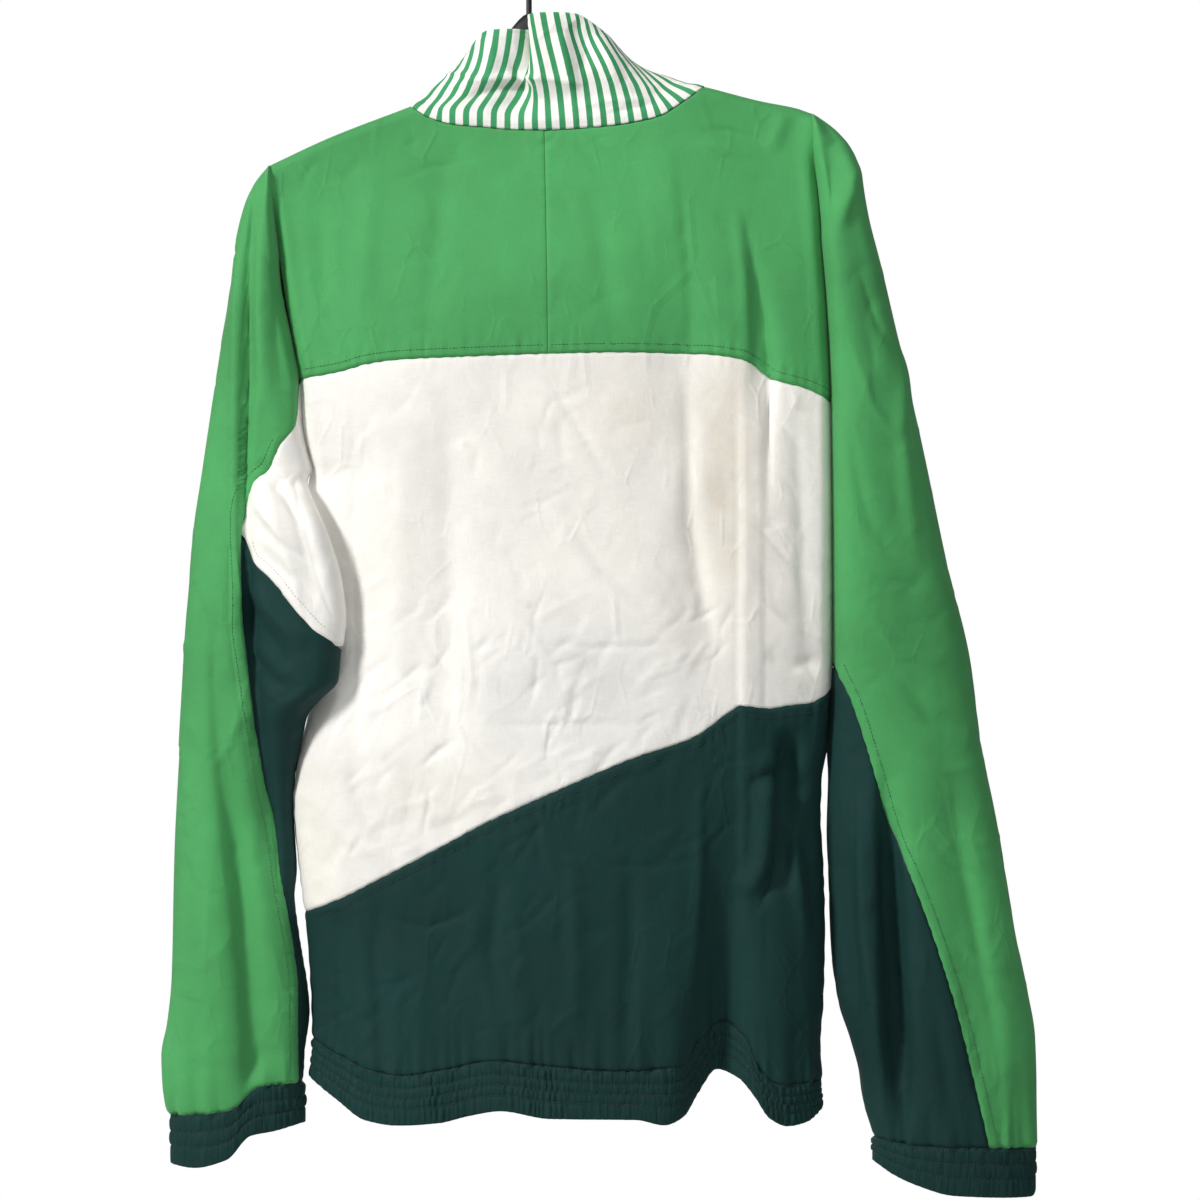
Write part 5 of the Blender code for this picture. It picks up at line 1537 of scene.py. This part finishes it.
def striped(n, base, u, wander):
    """Stripes down the cloth, with slightly ragged edges."""
    shift = n.math("ADD", u, 1.0 + 1.2 * MM)
    phase = n.math("FRACT", n.math("DIVIDE", shift, STRIPE_PITCH * MM))
    edge = n.math("ABSOLUTE", n.math("SUBTRACT", phase, 0.5))
    half = STRIPE_WIDTH / STRIPE_PITCH / 2
    ragged = n.math("ADD", edge, n.math("MULTIPLY", n.math("SUBTRACT", wander, 0.5), 0.03))
    inside = n.remap(ragged, half - 0.015, half + 0.015, 1.0, 0.0)
    return n.blend(inside, base, colour(STRIPE_GREEN))


def stained_and_shaded(n, toned, place):
    """The panel's stains and its painted shade, broken up by noise, and a faint yellowing all over."""
    # This mask holds the stains and the painted shade beside the left sleeve.
    mark = n.node("ShaderNodeAttribute", attribute_name="stain_and_shade").outputs["Fac"]
    uneven = n.noise(place, 26.0, 4.0, 0.65)
    mark = n.math("MULTIPLY", mark, n.remap(uneven, 0.3, 0.75, 0.3, 1.3))
    yellowed = n.remap(n.noise(place, 4.5, 2.0), 0.45, 0.75, 0.0, 0.16)
    return n.blend(n.math("ADD", mark, yellowed), toned, colour(STAIN_AND_SHADE_TINT))


def cloth_normal(n, place, uv, slubs, weave, ribs):
    """Fine relief from soft dents down to threads, in layers of height, strength and distance."""
    layers = [
        (n.noise(place, 70.0, 3.0, 0.6, 0.6), 0.35, 0.0012),
        (wrinkles(n, place), 0.45, 0.0011),
        (n.noise(place, 190.0, 2.0, 0.55, 0.4), 0.25, 0.0004),
    ]
    if ribs:
        layers.append((n.noise(n.scaled(uv, 420, 38, 1), 1.0, 2.0, 0.6), 0.8, 0.0016))
    layers += [(slubs, 0.25, 0.00012), (weave, 0.5, 0.00006)]
    normal = None
    for height, strength, distance in layers:
        normal = n.bump(height, strength, distance, normal)
    return normal


def fabric(name, rgb, sheen, gloss=0.3, thread_mm=0.42, stains_and_shade=False, stripes=False, ribs=False):
    """Fine plain weave: threads, slubs, soft unevenness, wear and tiny crumples or gathers."""
    n = Nodes(name)
    uv = n.node("ShaderNodeUVMap", uv_map="UVMap").outputs["UV"]
    split = n.node("ShaderNodeSeparateXYZ")
    n.put(uv, split.inputs[0])
    u, v = split.outputs[0], split.outputs[1]
    place = n.node("ShaderNodeTexCoord").outputs["Object"]
    per_metre = 2 * math.pi / (thread_mm * MM)
    wander = n.noise(n.scaled(uv, 900, 900, 1), 1.0, 1.0)
    warp, weft = (
        n.math("SINE", n.math("ADD", n.math("MULTIPLY", way, per_metre), wander)) for way in (u, v)
    )
    weave = n.math("MULTIPLY", warp, weft)
    slub_across = n.noise(n.scaled(uv, 90, 2200, 1), 1.0, 2.0)
    slub_down = n.noise(n.scaled(uv, 2200, 90, 1), 1.0, 2.0)
    slubs = n.math("ADD", slub_across, slub_down)
    cloudy = n.noise(place, 9.0, 3.0, 0.55)
    mottled = n.noise(place, 60.0, 3.0, 0.6)
    base = n.blend(n.remap(cloudy, 0.3, 0.7, 0.0, 1.0), colour(rgb, 0.86), colour(rgb, 1.1))
    if stripes:
        base = striped(n, base, u, wander)
    grain = n.remap(slubs, 0.7, 1.3, 0.955, 1.045)
    grain = n.math("MULTIPLY", grain, n.remap(weave, -1.0, 1.0, 0.95, 1.05))
    grain = n.math("MULTIPLY", grain, n.remap(mottled, 0.3, 0.7, 0.97, 1.03))
    toned = n.blend(1.0, base, grey(n, grain), "MULTIPLY")
    # The stains and the painted shade, where a piece's net carries them.
    if stains_and_shade:
        toned = stained_and_shaded(n, toned, place)
    n.put(toned, n.shader.inputs["Base Color"])
    n.put(n.remap(mottled, 0.3, 0.7, 0.62, 0.8), n.shader.inputs["Roughness"])
    n.shader.inputs["Sheen Weight"].default_value = sheen
    n.shader.inputs["Sheen Roughness"].default_value = 0.45
    n.shader.inputs["Specular IOR Level"].default_value = gloss
    n.put(cloth_normal(n, place, uv, slubs, weave, ribs), n.shader.inputs["Normal"])
    return n.material


def wrinkles(n, place):
    """Short straight creases that meet at angles, in patches, as washed cloth keeps them."""
    heights = []
    for x, z, reach in WRINKLES:
        cells = n.node("ShaderNodeTexVoronoi", feature="DISTANCE_TO_EDGE")
        n.put(n.scaled(place, x, x, z), cells.inputs["Vector"])
        cells.inputs["Scale"].default_value = 1.0
        ridge = n.remap(cells.outputs["Distance"], 0.0, 0.09, reach, 0.0)
        where = n.remap(n.noise(place, 0.55 * x, 1.0), 0.52, 0.66, 0.0, 1.0)
        heights.append(n.math("MULTIPLY", ridge, where))
    return n.math("ADD", *heights)


def grey(n, value):
    """A node's value as a colour."""
    made = n.node("ShaderNodeCombineColor")
    for socket in made.inputs:
        n.put(value, socket)
    return made.outputs[0]


def plastic(name, rgb, roughness, metallic=0.0, scuffs=0.06):
    """Moulded plastic or painted metal with fine grain, scuffs and worn gloss."""
    n = Nodes(name)
    place = n.node("ShaderNodeTexCoord").outputs["Object"]
    grain = n.noise(place, 900.0, 2.0)
    patches = n.noise(place, 45.0, 4.0, 0.65)
    streaks = n.noise(n.scaled(place, 240, 240, 30), 1.0, 3.0)
    base = n.blend(n.remap(patches, 0.45, 0.75, 0.0, 1.0), colour(rgb), colour(rgb, 1.6))
    n.put(base, n.shader.inputs["Base Color"])
    worn = n.math("ADD", n.remap(patches, 0.3, 0.7, roughness - 0.06, roughness + 0.08),
                  n.remap(streaks, 0.5, 0.8, 0.0, scuffs))
    n.put(worn, n.shader.inputs["Roughness"])
    n.shader.inputs["Metallic"].default_value = metallic
    normal = n.bump(grain, 0.3, 0.00005)
    n.put(n.bump(streaks, 0.15, 0.0001, normal), n.shader.inputs["Normal"])
    return n.material


def thread(name, rgb):
    """Twisted sewing thread."""
    n = Nodes(name)
    place = n.node("ShaderNodeTexCoord").outputs["Object"]
    twist = n.noise(place, 2400.0, 1.0)
    base = n.blend(twist, colour(rgb, 0.7), colour(rgb, 1.25))
    n.put(base, n.shader.inputs["Base Color"])
    n.shader.inputs["Roughness"].default_value = 0.6
    n.shader.inputs["Sheen Weight"].default_value = 0.2
    n.put(n.bump(twist, 0.5, 0.0001), n.shader.inputs["Normal"])
    return n.material


def surface(tube, sheet, x, down):
    """Points and normals on a tube's sheet, in millimetres with +Z up."""

    def height(at_x, at_down):
        if tube == "body":
            return body_y(sheet, at_x, at_down)
        return sleeve_y(sleeve_of(tube), sheet, at_x, at_down)

    step = 0.4
    y = height(x, down)
    slope_x = (height(x + step, down) - height(x - step, down)) / (2 * step)
    slope_down = (height(x, down + step) - height(x, down - step)) / (2 * step)
    normal = np.stack([-slope_x * sheet, sheet + 0 * x, slope_down * sheet], axis=-1)
    normal = normal / np.linalg.norm(normal, axis=-1, keepdims=True)
    drop = 0.0 if tube == "body" else cuff_tilt(sleeve_of(tube), x, down)
    return np.stack([x, y, -(down + drop)], axis=-1), normal


def stitch_mesh(places, ways, normals):
    """Short rounded stitches: each lies at a place, points along its way and stands on its normal."""
    across = np.cross(normals, ways)
    profile = ((-0.5, 0.25), (-0.32, 1.0), (0.32, 1.0), (0.5, 0.25))
    verts = []
    for along_by, wide in profile:
        for side, up in ((-1, 0), (0, 1), (1, 0), (0, -1)):
            radius = wide * STITCH_RADIUS
            verts.append(
                places + ways * (along_by * STITCH_LENGTH) + across * (side * radius * 1.25)
                + normals * (up * radius)
            )
    return np.stack(verts, axis=1).reshape(-1, 3), block_faces(len(places))


def solid(name, verts_mm, faces, look, smooth=True):
    mesh = bpy.data.meshes.new(name)
    mesh.from_pydata((np.asarray(verts_mm) * MM).tolist(), [], [list(face) for face in faces])
    if smooth:
        mesh.shade_smooth()
    return linked(name, mesh, look)


def stitch_line(tube, sheet, piece, points):
    """Stitch places, ways and normals along a line of (x, down) on a panel."""
    points = np.asarray(points, float)
    x, down = points[:, 0], points[:, 1]
    places, normals = surface(tube, sheet, x, down)
    if tube == "body":
        relief = body_seams(piece, sheet, x, down)
    else:
        relief = sleeve_seams(piece, sleeve_of(tube), x, down)
    height = crease_height(tube, sheet, x, down) + relief + STITCH_LIFT
    return sampled(places + normals * height[:, None], normals)


def row_stitches(patch, share, lift=STITCH_LIFT):
    """Stitch places, ways and normals along one row of a net, on its raised cloth."""
    points = patch.points()
    normals = np.cross(np.gradient(points, axis=1), np.gradient(points, axis=0))
    normals = normals / np.maximum(1e-9, np.linalg.norm(normals, axis=-1, keepdims=True))
    if normals[..., 1].sum() * patch.sheet < 0:
        normals = -normals
    places = points + normals * (patch.height + lift)[..., None]
    at = share * (len(points) - 1)
    low = int(at)
    high = min(low + 1, len(points) - 1)
    return sampled(mix(places[low], places[high], at - low), normals[low])


def between(at, marks, rows):
    """Rows of three values interpolated at places along a line."""
    return np.stack([np.interp(at, marks, rows[:, k]) for k in range(3)], axis=-1)


def sampled(places, normals):
    """Stitches spaced evenly along a line of places."""
    marks = along(places)
    at = np.arange(STITCH_PITCH, marks[-1] - STITCH_PITCH, STITCH_PITCH)
    way = between(at + STITCH_REACH, marks, places) - between(at - STITCH_REACH, marks, places)
    way = way / np.linalg.norm(way, axis=-1, keepdims=True)
    return between(at, marks, places), way, between(at, marks, normals)


def make_stitches(name, parts, look):
    """All stitches of one piece, from the places, ways and normals of its lines."""
    places, ways, normals = (np.concatenate([part[k] for part in parts]) for k in range(3))
    verts, faces = stitch_mesh(places, ways, normals)
    return solid(name, verts, faces, look)


def offset_line(line, xs, by):
    """(x, down) beside a line across the body, by a distance square to it."""
    across = tilt_of(line, xs)
    return np.stack([xs - by * slope_of(line, xs) * across, line(xs) + by * across], axis=-1)


def offset_side(line, downs, by):
    """(x, down) beside a line along a sleeve."""
    return offset_line(line, downs, by)[:, ::-1]


def body_span(line, inset=3.0):
    """x along a line across the body, from one side to the other."""
    ends = []
    for sleeve in (LEFT, RIGHT):
        down = settle(lambda at: line(side_of(sleeve, at)), lambda at: at, 500)
        ends.append(float(side_of(sleeve, float(down))) - inset * sleeve.sign)
    return np.linspace(*ends, 240)


def make_band_stitches(bands, collar, threads):
    """Rows of stitches over the elastic of hem and cuffs, and below the collar's top edge."""
    pieces = {}
    for node, patches in bands.items():
        marks = [1 - share for share in HEM_STITCH_ROWS] if node == "hem_band" else CUFF_STITCH_ROWS
        parts = [row_stitches(patch, mark, BAND_STITCH_LIFT) for patch in patches for mark in marks]
        pieces[node] = make_stitches(f"stitch_rows_{node}", parts, threads["dark"])
    row = row_stitches(collar, COLLAR_STITCH_ROW, STITCH_LIFT + COLLAR_CLOTH / 2)
    pieces["collar"] = make_stitches("topstitch_collar", [row], threads["white"])
    return pieces


def half_line_stitches(sleeve, sheet, line, centre_down, by, piece):
    """Stitches beside a line across the body, on one half of a sheet."""
    xs = body_span(line)
    gap = 0.0 if sheet == BACK else ZIP_SLOT_HALF + ALLOWANCE
    mine = xs[(xs - CENTRE_LINE(centre_down)) * sleeve.sign > gap]
    return stitch_line("body", sheet, piece, offset_line(line, mine, by))


def make_seam_stitches(threads):
    """Topstitching along the yoke, the sleeves' green edges, the slanting seam and the wing."""
    pieces = {}
    for sleeve in (LEFT, RIGHT):
        start, edge = (372, GREEN_LEFT) if sleeve is LEFT else (THREE_WAY_RIGHT + 4, GREEN_RIGHT)
        seam = offset_side(
            edge, np.linspace(start, sleeve.cuff_line - 6, 300), ALLOWANCE * sleeve.sign
        )
        lines = []
        for sheet in (BACK, FRONT):
            lines.append(half_line_stitches(sleeve, sheet, YOKE_LINE, 310, -ALLOWANCE, "yoke"))
            lines.append(stitch_line(sleeve.name, sheet, "green", seam))
        node = f"yoke_sleeve_{sleeve.name}"
        pieces[node] = make_stitches(f"topstitch_{node}", lines, threads["light"])
    halves = {
        (sheet, sleeve.name): half_line_stitches(
            sleeve, sheet, WAIST_LINE[sheet], 620, ALLOWANCE, "lower"
        )
        for sheet in (BACK, FRONT) for sleeve in (LEFT, RIGHT)
    }
    for node, lines in by_owner("lower", halves).items():
        pieces[node] = make_stitches(f"topstitch_{node}", lines, threads["dark"])
    downs = np.linspace(WING_START + 2, WING_END - 6, 120)
    wing = stitch_line("left", BACK, "wing", offset_side(WING_HEM, downs, -ALLOWANCE))
    pieces["back_middle"] = make_stitches("topstitch_wing", [wing], threads["white"])
    return pieces


def tube_mesh(centres, sections):
    """A closed skin over rings: each centre with its two half axes as vectors."""
    verts = []
    count = 28
    for centre, (first, second) in zip(centres, sections):
        for i in range(count):
            angle = 2 * math.pi * i / count
            verts.append(
                np.asarray(centre) + np.asarray(first) * math.cos(angle)
                + np.asarray(second) * math.sin(angle)
            )
    return verts, skin(count, len(centres))


def make_hanger(look):
    """Moulded arms, smoothly tapered, with the boss that holds the wire."""
    top = Curve([(row[0], row[1]) for row in HANGER])
    tall = Curve([(row[0], row[2]) for row in HANGER])
    centres, sections = [], []
    low, high = HANGER[-1][0], HANGER[0][0]
    for share in spread(150, True):
        x = mix(low, high, share)
        height = float(tall(x))
        end = min(1.0, min(x - low, high - x) / 3.5 + 0.12)
        half = height / 2 * math.sqrt(end)
        thick = min(HANGER_THICKNESS, height) / 2 * math.sqrt(end)
        centres.append((x, 0.0, -(float(top(x)) + height / 2)))
        sections.append(((0.0, thick, 0.0), (0.0, 0.0, half)))
    verts, faces = tube_mesh(centres, sections)
    return solid("hanger_arms", verts, faces, look)


def hook_line():
    """Points along the wire: its stem, an easy bend, and the arc over the rod."""
    centre_down = HOOK_RADIUS - WIRE_RADIUS
    points = [(STEM_X, down) for down in np.linspace(STEM_FOOT, STEM_TOP, 12)]
    start = -62.0
    for t in np.linspace(0, 1, 14)[1:-1]:
        x = mix(STEM_X, HOOK_RADIUS * math.cos(math.radians(start)), float(ease(t)))
        down = mix(STEM_TOP, centre_down - HOOK_RADIUS * math.sin(math.radians(start)), t)
        points.append((x, down))
    for angle in np.linspace(start, 201, 80):
        turn = math.radians(angle)
        points.append((HOOK_RADIUS * math.cos(turn), centre_down - HOOK_RADIUS * math.sin(turn)))
    return np.array(points)


def make_hook(look):
    """The bent wire with a rounded tip."""
    line = hook_line()
    ways = np.gradient(line, axis=0)
    ways = ways / np.linalg.norm(ways, axis=1, keepdims=True)
    marks = along(line)
    centres, sections = [], []
    for (x, down), (way_x, way_down), mark in zip(line, ways, marks):
        left = marks[-1] - mark
        radius = WIRE_RADIUS * math.sqrt(max(0.05, min(1.0, left / WIRE_RADIUS)))
        centres.append((x, 0.0, -down))
        sections.append(((0.0, radius, 0.0), (way_down * radius, 0.0, way_x * radius)))
    verts, faces = tube_mesh(centres, sections)
    return solid("hanger_wire", verts, faces, look)


def zip_path():
    """The front's centre line from the hem's edge to the collar's top, as (x, y, z)."""
    bottom = float(EDGE_LINE[FRONT](CENTRE_LINE(800)))
    neck = float(NECKLINE[FRONT](CENTRE_LINE(200)))
    downs = np.linspace(bottom, neck, ZIP_POINTS)
    x = CENTRE_LINE(downs)
    path = np.stack([x, body_y(FRONT, x, downs), -downs], axis=-1)
    at = CENTRE_LINE(neck)
    _, y, down = (float(curve(at)) for curve in COLLAR_EDGE[FRONT])
    top = np.array([float(at), y, -down])
    shares = np.linspace(0, ZIP_TOP, ZIP_COLLAR_POINTS)[1:, None]
    return np.concatenate([path, path[-1] + (top - path[-1]) * shares])


def path_frames(path):
    """The way along a path and the way out of the jacket, at each of its points."""
    ways = np.gradient(path, axis=0)
    ways = ways / np.linalg.norm(ways, axis=1, keepdims=True)
    out = np.cross(np.array([1.0, 0, 0]), ways)
    out = out / np.linalg.norm(out, axis=1, keepdims=True)
    return ways, np.where(out[:, 1:2] > 0, -out, out)


def resampled(path, pitch):
    marks = along(path)
    return between(np.arange(pitch, marks[-1] - pitch, pitch), marks, path)


def make_zip_tape(look):
    """Two woven tapes behind the fronts, with a corded edge each beside the teeth."""
    path = resampled(zip_path(), 2.0)
    _, out = path_frames(path)
    across = np.array([1.0, 0, 0])
    behind = -(CLOTH / 2 + ZIP_TAPE_GAP + ZIP_TAPE_WALL / 2)
    verts, faces = [], []
    for side in (-1, 1):
        section = [(side * a, behind + b) for a, b in TAPE_SECTION]
        wall = [(a, b - ZIP_TAPE_WALL / 2) for a, b in section[::-1]]
        ring = [(a, b + ZIP_TAPE_WALL / 2) for a, b in section] + wall
        rings = np.stack([path + across * a + out * b for a, b in ring], axis=1)
        faces += skin(len(ring), len(path), sum(len(part) for part in verts))
        verts.append(rings.reshape(-1, 3))
    return solid("zip_tapes", np.concatenate(verts), faces, look, False)


def blocks(places, axes, half_sizes, chamfer):
    """Small chamfered blocks: at each place, along its three axes."""
    shape = []
    small, near = 1 - chamfer, 1 - 2 * chamfer
    for sz, scale in ((-1, small), (-near, 1), (near, 1), (1, small)):
        for sx, sy in ((-1, -1), (1, -1), (1, 1), (-1, 1)):
            shape.append((sx * scale, sy * scale, sz))
    shape = np.array(shape) * np.array(half_sizes)
    verts = places[:, None, :] + np.einsum("vk,pkd->pvd", shape, axes)
    return verts.reshape(-1, 3), block_faces(len(places))


def make_zip_teeth(look):
    """The closed chain: moulded teeth that reach in from either tape in turn."""
    path = resampled(zip_path(), TOOTH_PITCH / 2)
    ways, out = path_frames(path)
    across = np.tile(np.array([1.0, 0, 0]), (len(path), 1))
    side = np.where(np.arange(len(path)) % 2 == 0, 1.0, -1.0)[:, None]
    axes = np.stack([across * side, out, ways], axis=1)
    verts, faces = [], []
    for at, half_sizes, chamfer in (TOOTH_ROOT, TOOTH_HEAD):
        part, part_faces = blocks(
            path + across * side * at + out * TOOTH_OUT, axes, half_sizes, chamfer
        )
        faces.append(part_faces + sum(len(other) for other in verts))
        verts.append(part)
    return solid("zip_teeth", np.concatenate(verts), np.concatenate(faces), look, False)


def slider_frame():
    """Place of the slider: its Z runs up the chain and its -Y out of the jacket."""
    path = zip_path()
    neck, foot, top = path[ZIP_POINTS - 1], path[-SLIDER_FOOT_POINT], path[-1]
    first = neck + (top - neck) * (SLIDER_SPAN_START / ZIP_TOP)
    at = first + (top - first) * SLIDER_AT
    way = Vector((top - foot).tolist()).normalized()
    out = way.cross(Vector((1, 0, 0))).normalized()
    out = -out if out.y > 0 else out
    axes = Matrix((Vector((1, 0, 0)), -out, way)).transposed().to_4x4()
    return Matrix.Translation(Vector(at.tolist())) @ axes


def placed(matrix, points):
    return [tuple(matrix @ Vector(point)) for point in points]


def plate(outline, near, far, rim):
    """A flat plate from an outline of (x, z), between two y, with bevelled rims."""
    verts = []
    middle = np.mean(outline, axis=0)
    for y, inset in ((near, rim), (near + rim, 0.0), (far - rim, 0.0), (far, rim)):
        for x, z in outline:
            away = np.array([x, z]) - middle
            shrink = 1 - inset / max(1e-6, float(np.linalg.norm(away)))
            verts.append((middle[0] + away[0] * shrink, y, middle[1] + away[1] * shrink))
    return verts, skin(len(outline), 4)


def round_outline(half_low, half_high, low, high, power=3.2, count=40):
    """A rounded outline whose half width runs from its low end to its high end."""
    points = []
    for i in range(count):
        turn = 2 * math.pi * i / count
        c, s = math.cos(turn), math.sin(turn)
        x = math.copysign(abs(c) ** (2 / power), c)
        z = math.copysign(abs(s) ** (2 / power), s)
        half = mix(half_low, half_high, (z + 1) / 2)
        points.append((x * half, mix(low, high, (z + 1) / 2)))
    return points


def swept(points, radius):
    """A round bar through points, with its ring axes square to its way."""
    points = np.asarray(points, float)
    ways = np.gradient(points, axis=0)
    ways = ways / np.linalg.norm(ways, axis=1, keepdims=True)
    centres, sections = [], []
    first = np.cross(ways[0], (0.31, 0.87, 0.39))
    for point, way in zip(points, ways):
        first = first - way * float(np.dot(first, way))
        first = first / np.linalg.norm(first)
        second = np.cross(way, first)
        centres.append(point)
        sections.append((first * radius, second * radius))
    return tube_mesh(centres, sections)


def merged(parts):
    """Several meshes as one."""
    verts, faces = [], []
    for part_verts, part_faces in parts:
        start = len(verts)
        verts += [tuple(float(v) for v in vert) for vert in part_verts]
        faces += [tuple(start + i for i in face) for face in part_faces]
    return verts, faces


def make_slider(look):
    """A rounded plate over the chain and the bridge for the pull."""
    place = slider_frame()
    back = -(CHAIN_PROUD + PLATE_GAP)
    face = back - PLATE_THICKNESS
    half = SLIDER_LENGTH / 2
    outline = round_outline(SLIDER_WIDTH / 2 - 0.9, SLIDER_WIDTH / 2, -half, half)
    parts = [plate(outline, face, back, 0.35)]
    crown = face - WINDOW_HEIGHT
    bridge = []
    for t in np.linspace(0, math.pi, 26):
        z = math.copysign(abs(math.cos(t)) ** 0.55, math.cos(t)) * (BRIDGE_LENGTH / 2 - 0.6)
        y = mix(face + 0.3, crown - 0.6, math.sin(t) ** 0.5)
        bridge.append((0.0, y, z))
    parts.append(swept(bridge, BRIDGE_WIRE))
    verts, faces = merged(parts)
    return solid("zip_slider_body", placed(place, verts), faces, look)


def make_pull(look):
    """The pull: a bar through the bridge, two legs, and a tapered tab with a raised rim."""
    frame = slider_frame()
    face = -(CHAIN_PROUD + PLATE_GAP + PLATE_THICKNESS)
    pin = frame @ Vector((0, face - WINDOW_HEIGHT / 2, -PIN_DROP))
    half = PULL_WIDTH / 2 - 0.6
    leg = [
        (half, 0, -PULL_LEG - 0.8), (half, 0, -PULL_LEG / 2), (half, 0, -0.9),
        (half - 0.3, 0, -0.25), (half - 0.9, 0, 0),
    ]
    loop = [(-x, y, z) for x, y, z in leg] + [(0, 0, 0)] + leg[::-1]
    parts = [swept(loop, PULL_WIRE)]
    tab = round_outline(PULL_WIDTH / 2 - 0.7, PULL_WIDTH / 2, -PULL_LENGTH, -PULL_LEG + 0.2)
    parts.append(plate(tab, -TAB_HALF, TAB_HALF, 0.2))
    rim = [(x * 0.9, 0, mix(z, -PULL_LENGTH / 2 - 2.4, 0.07)) for x, z in tab + tab[:1]]
    parts.append(swept(rim, RIM_WIRE))
    verts, faces = merged(parts)
    return solid("zip_pull_tab", placed(Matrix.Translation(pin), verts), faces, look)


def make_looks():
    return {
        "light": fabric("light_green_cloth", LIGHT_GREEN, 0.12),
        "dark": fabric("dark_green_cloth", DARK_GREEN, 0.02, 0.2),
        "elastic": fabric("dark_green_gathered", DARK_GREEN, 0.02, 0.2, ribs=True),
        # The white cloth shows the back panel's stains and its painted shade.
        "white": fabric("white_cloth", WHITE, 0.08, stains_and_shade=True),
        "stripe": fabric("striped_cloth", WHITE, 0.08, stripes=True),
        "black": plastic("black_plastic_worn", ARMS_BLACK, 0.45),
        "tape": fabric("zip_tape_weave", TAPE_WHITE, 0.05, thread_mm=0.6),
        "zip": plastic("zip_moulded", ZIP_WHITE, 0.38),
        "wire": plastic("black_wire", WIRE_BLACK, 0.4),
    }


def make_pieces(looks):
    """A piece for each node, and the nets that carry rows of stitches."""
    pieces = {}
    bands = {}
    for sleeve in (LEFT, RIGHT):
        pieces[f"yoke_sleeve_{sleeve.name}"] = make_yoke_sleeve(sleeve, looks["light"])
        pieces[f"under_sleeve_{sleeve.name}"] = make_under_sleeve(sleeve, looks["dark"])
        cuff = f"cuff_{sleeve.name}"
        pieces[cuff], bands[cuff] = make_cuff(sleeve, looks["elastic"])
    pieces.update(make_middles(looks["white"]))
    pieces.update(make_lowers(looks["dark"]))
    pieces["hem_band"], bands["hem_band"] = make_hem(looks["elastic"])
    pieces["collar"], collar = make_collar(looks["stripe"])
    pieces["zip_tape"] = make_zip_tape(looks["tape"])
    pieces["zip_slider"] = make_slider(looks["zip"])
    pieces["zip_pull"] = make_pull(looks["zip"])
    pieces["hanger_body"] = make_hanger(looks["black"])
    pieces["hanger_hook"] = make_hook(looks["wire"])
    return pieces, bands, collar


def make_extras(looks, bands, collar):
    """Stitches and teeth, each under the node that it is part of."""
    threads = {key: thread(name, rgb) for key, (name, rgb) in THREADS.items()}
    extras = make_seam_stitches(threads)
    extras.update(make_band_stitches(bands, collar, threads))
    extras["zip_tape"] = make_zip_teeth(looks["zip"])
    return extras


def area_light(name, place, aim, size, power, tint):
    data = bpy.data.lights.new(name, "AREA")
    data.energy = power
    data.size = size
    data.color = tint
    lamp = bpy.data.objects.new(name, data)
    lamp.location = place
    lamp.rotation_euler = (Vector(aim) - Vector(place)).to_track_quat("-Z", "Y").to_euler()
    bpy.context.scene.collection.objects.link(lamp)


def make_world():
    """A surround that is white to the camera and a faint light on the jacket."""
    world = bpy.data.worlds.new("studio")
    world.use_nodes = True
    tree = world.node_tree
    background = tree.nodes["Background"]
    path = tree.nodes.new("ShaderNodeLightPath")
    level = tree.nodes.new("ShaderNodeMapRange")
    level.inputs["To Min"].default_value = AMBIENT
    level.inputs["To Max"].default_value = 1.0
    tree.links.new(path.outputs["Is Camera Ray"], level.inputs["Value"])
    tree.links.new(level.outputs["Result"], background.inputs["Strength"])
    background.inputs["Color"].default_value = (1, 1, 1, 1)
    return world


def make_floor():
    disc = bmesh.new()
    bmesh.ops.create_circle(disc, cap_ends=True, segments=96, radius=FLOOR_RADIUS)
    mesh = bpy.data.meshes.new("floor")
    disc.to_mesh(mesh)
    disc.free()
    look = Nodes("pale_floor")
    place = look.node("ShaderNodeTexCoord").outputs["Object"]
    faint = look.remap(look.noise(place, 3.0), 0.3, 0.7, 0.78, 0.84)
    look.put(grey(look, faint), look.shader.inputs["Base Color"])
    look.shader.inputs["Roughness"].default_value = 0.7
    floor = linked("floor", mesh, look.material)
    floor.location = (0.0, 0.0, FLOOR_Z)


def make_camera():
    lens = bpy.data.cameras.new("camera")
    lens.sensor_width = SENSOR
    lens.lens = SENSOR * CAMERA_DISTANCE / FRAME_SIDE
    lens.clip_end = 50.0
    camera = bpy.data.objects.new("camera", lens)
    camera.matrix_world = (
        Matrix.Translation((CAMERA_X * MM, CAMERA_DISTANCE * MM, -CAMERA_DOWN * MM))
        @ Matrix.Rotation(math.pi, 4, "Z") @ Matrix.Rotation(math.pi / 2, 4, "X")
    )
    bpy.context.scene.collection.objects.link(camera)
    return camera


def make_stage():
    """A pale floor, soft studio light, a pale surround and the photograph's camera."""
    scene = bpy.context.scene
    scene.view_settings.view_transform = "Standard"
    centre = (CAMERA_X * MM, 0.0, -CAMERA_DOWN * MM)
    for name, place, size, power, tint in LIGHTS:
        area_light(name, place, centre, size, power, tint)
    scene.world = make_world()
    make_floor()
    scene.camera = make_camera()


def main():
    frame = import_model()
    looks = make_looks()
    pieces, bands, collar = make_pieces(looks)
    for node, piece in pieces.items():
        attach(piece, "pull" if node == "zip_pull" else "jacket")
        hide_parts(node)
    extras = make_extras(looks, bands, collar)
    for node, piece in extras.items():
        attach(piece, "jacket")
    make_stage()


main()
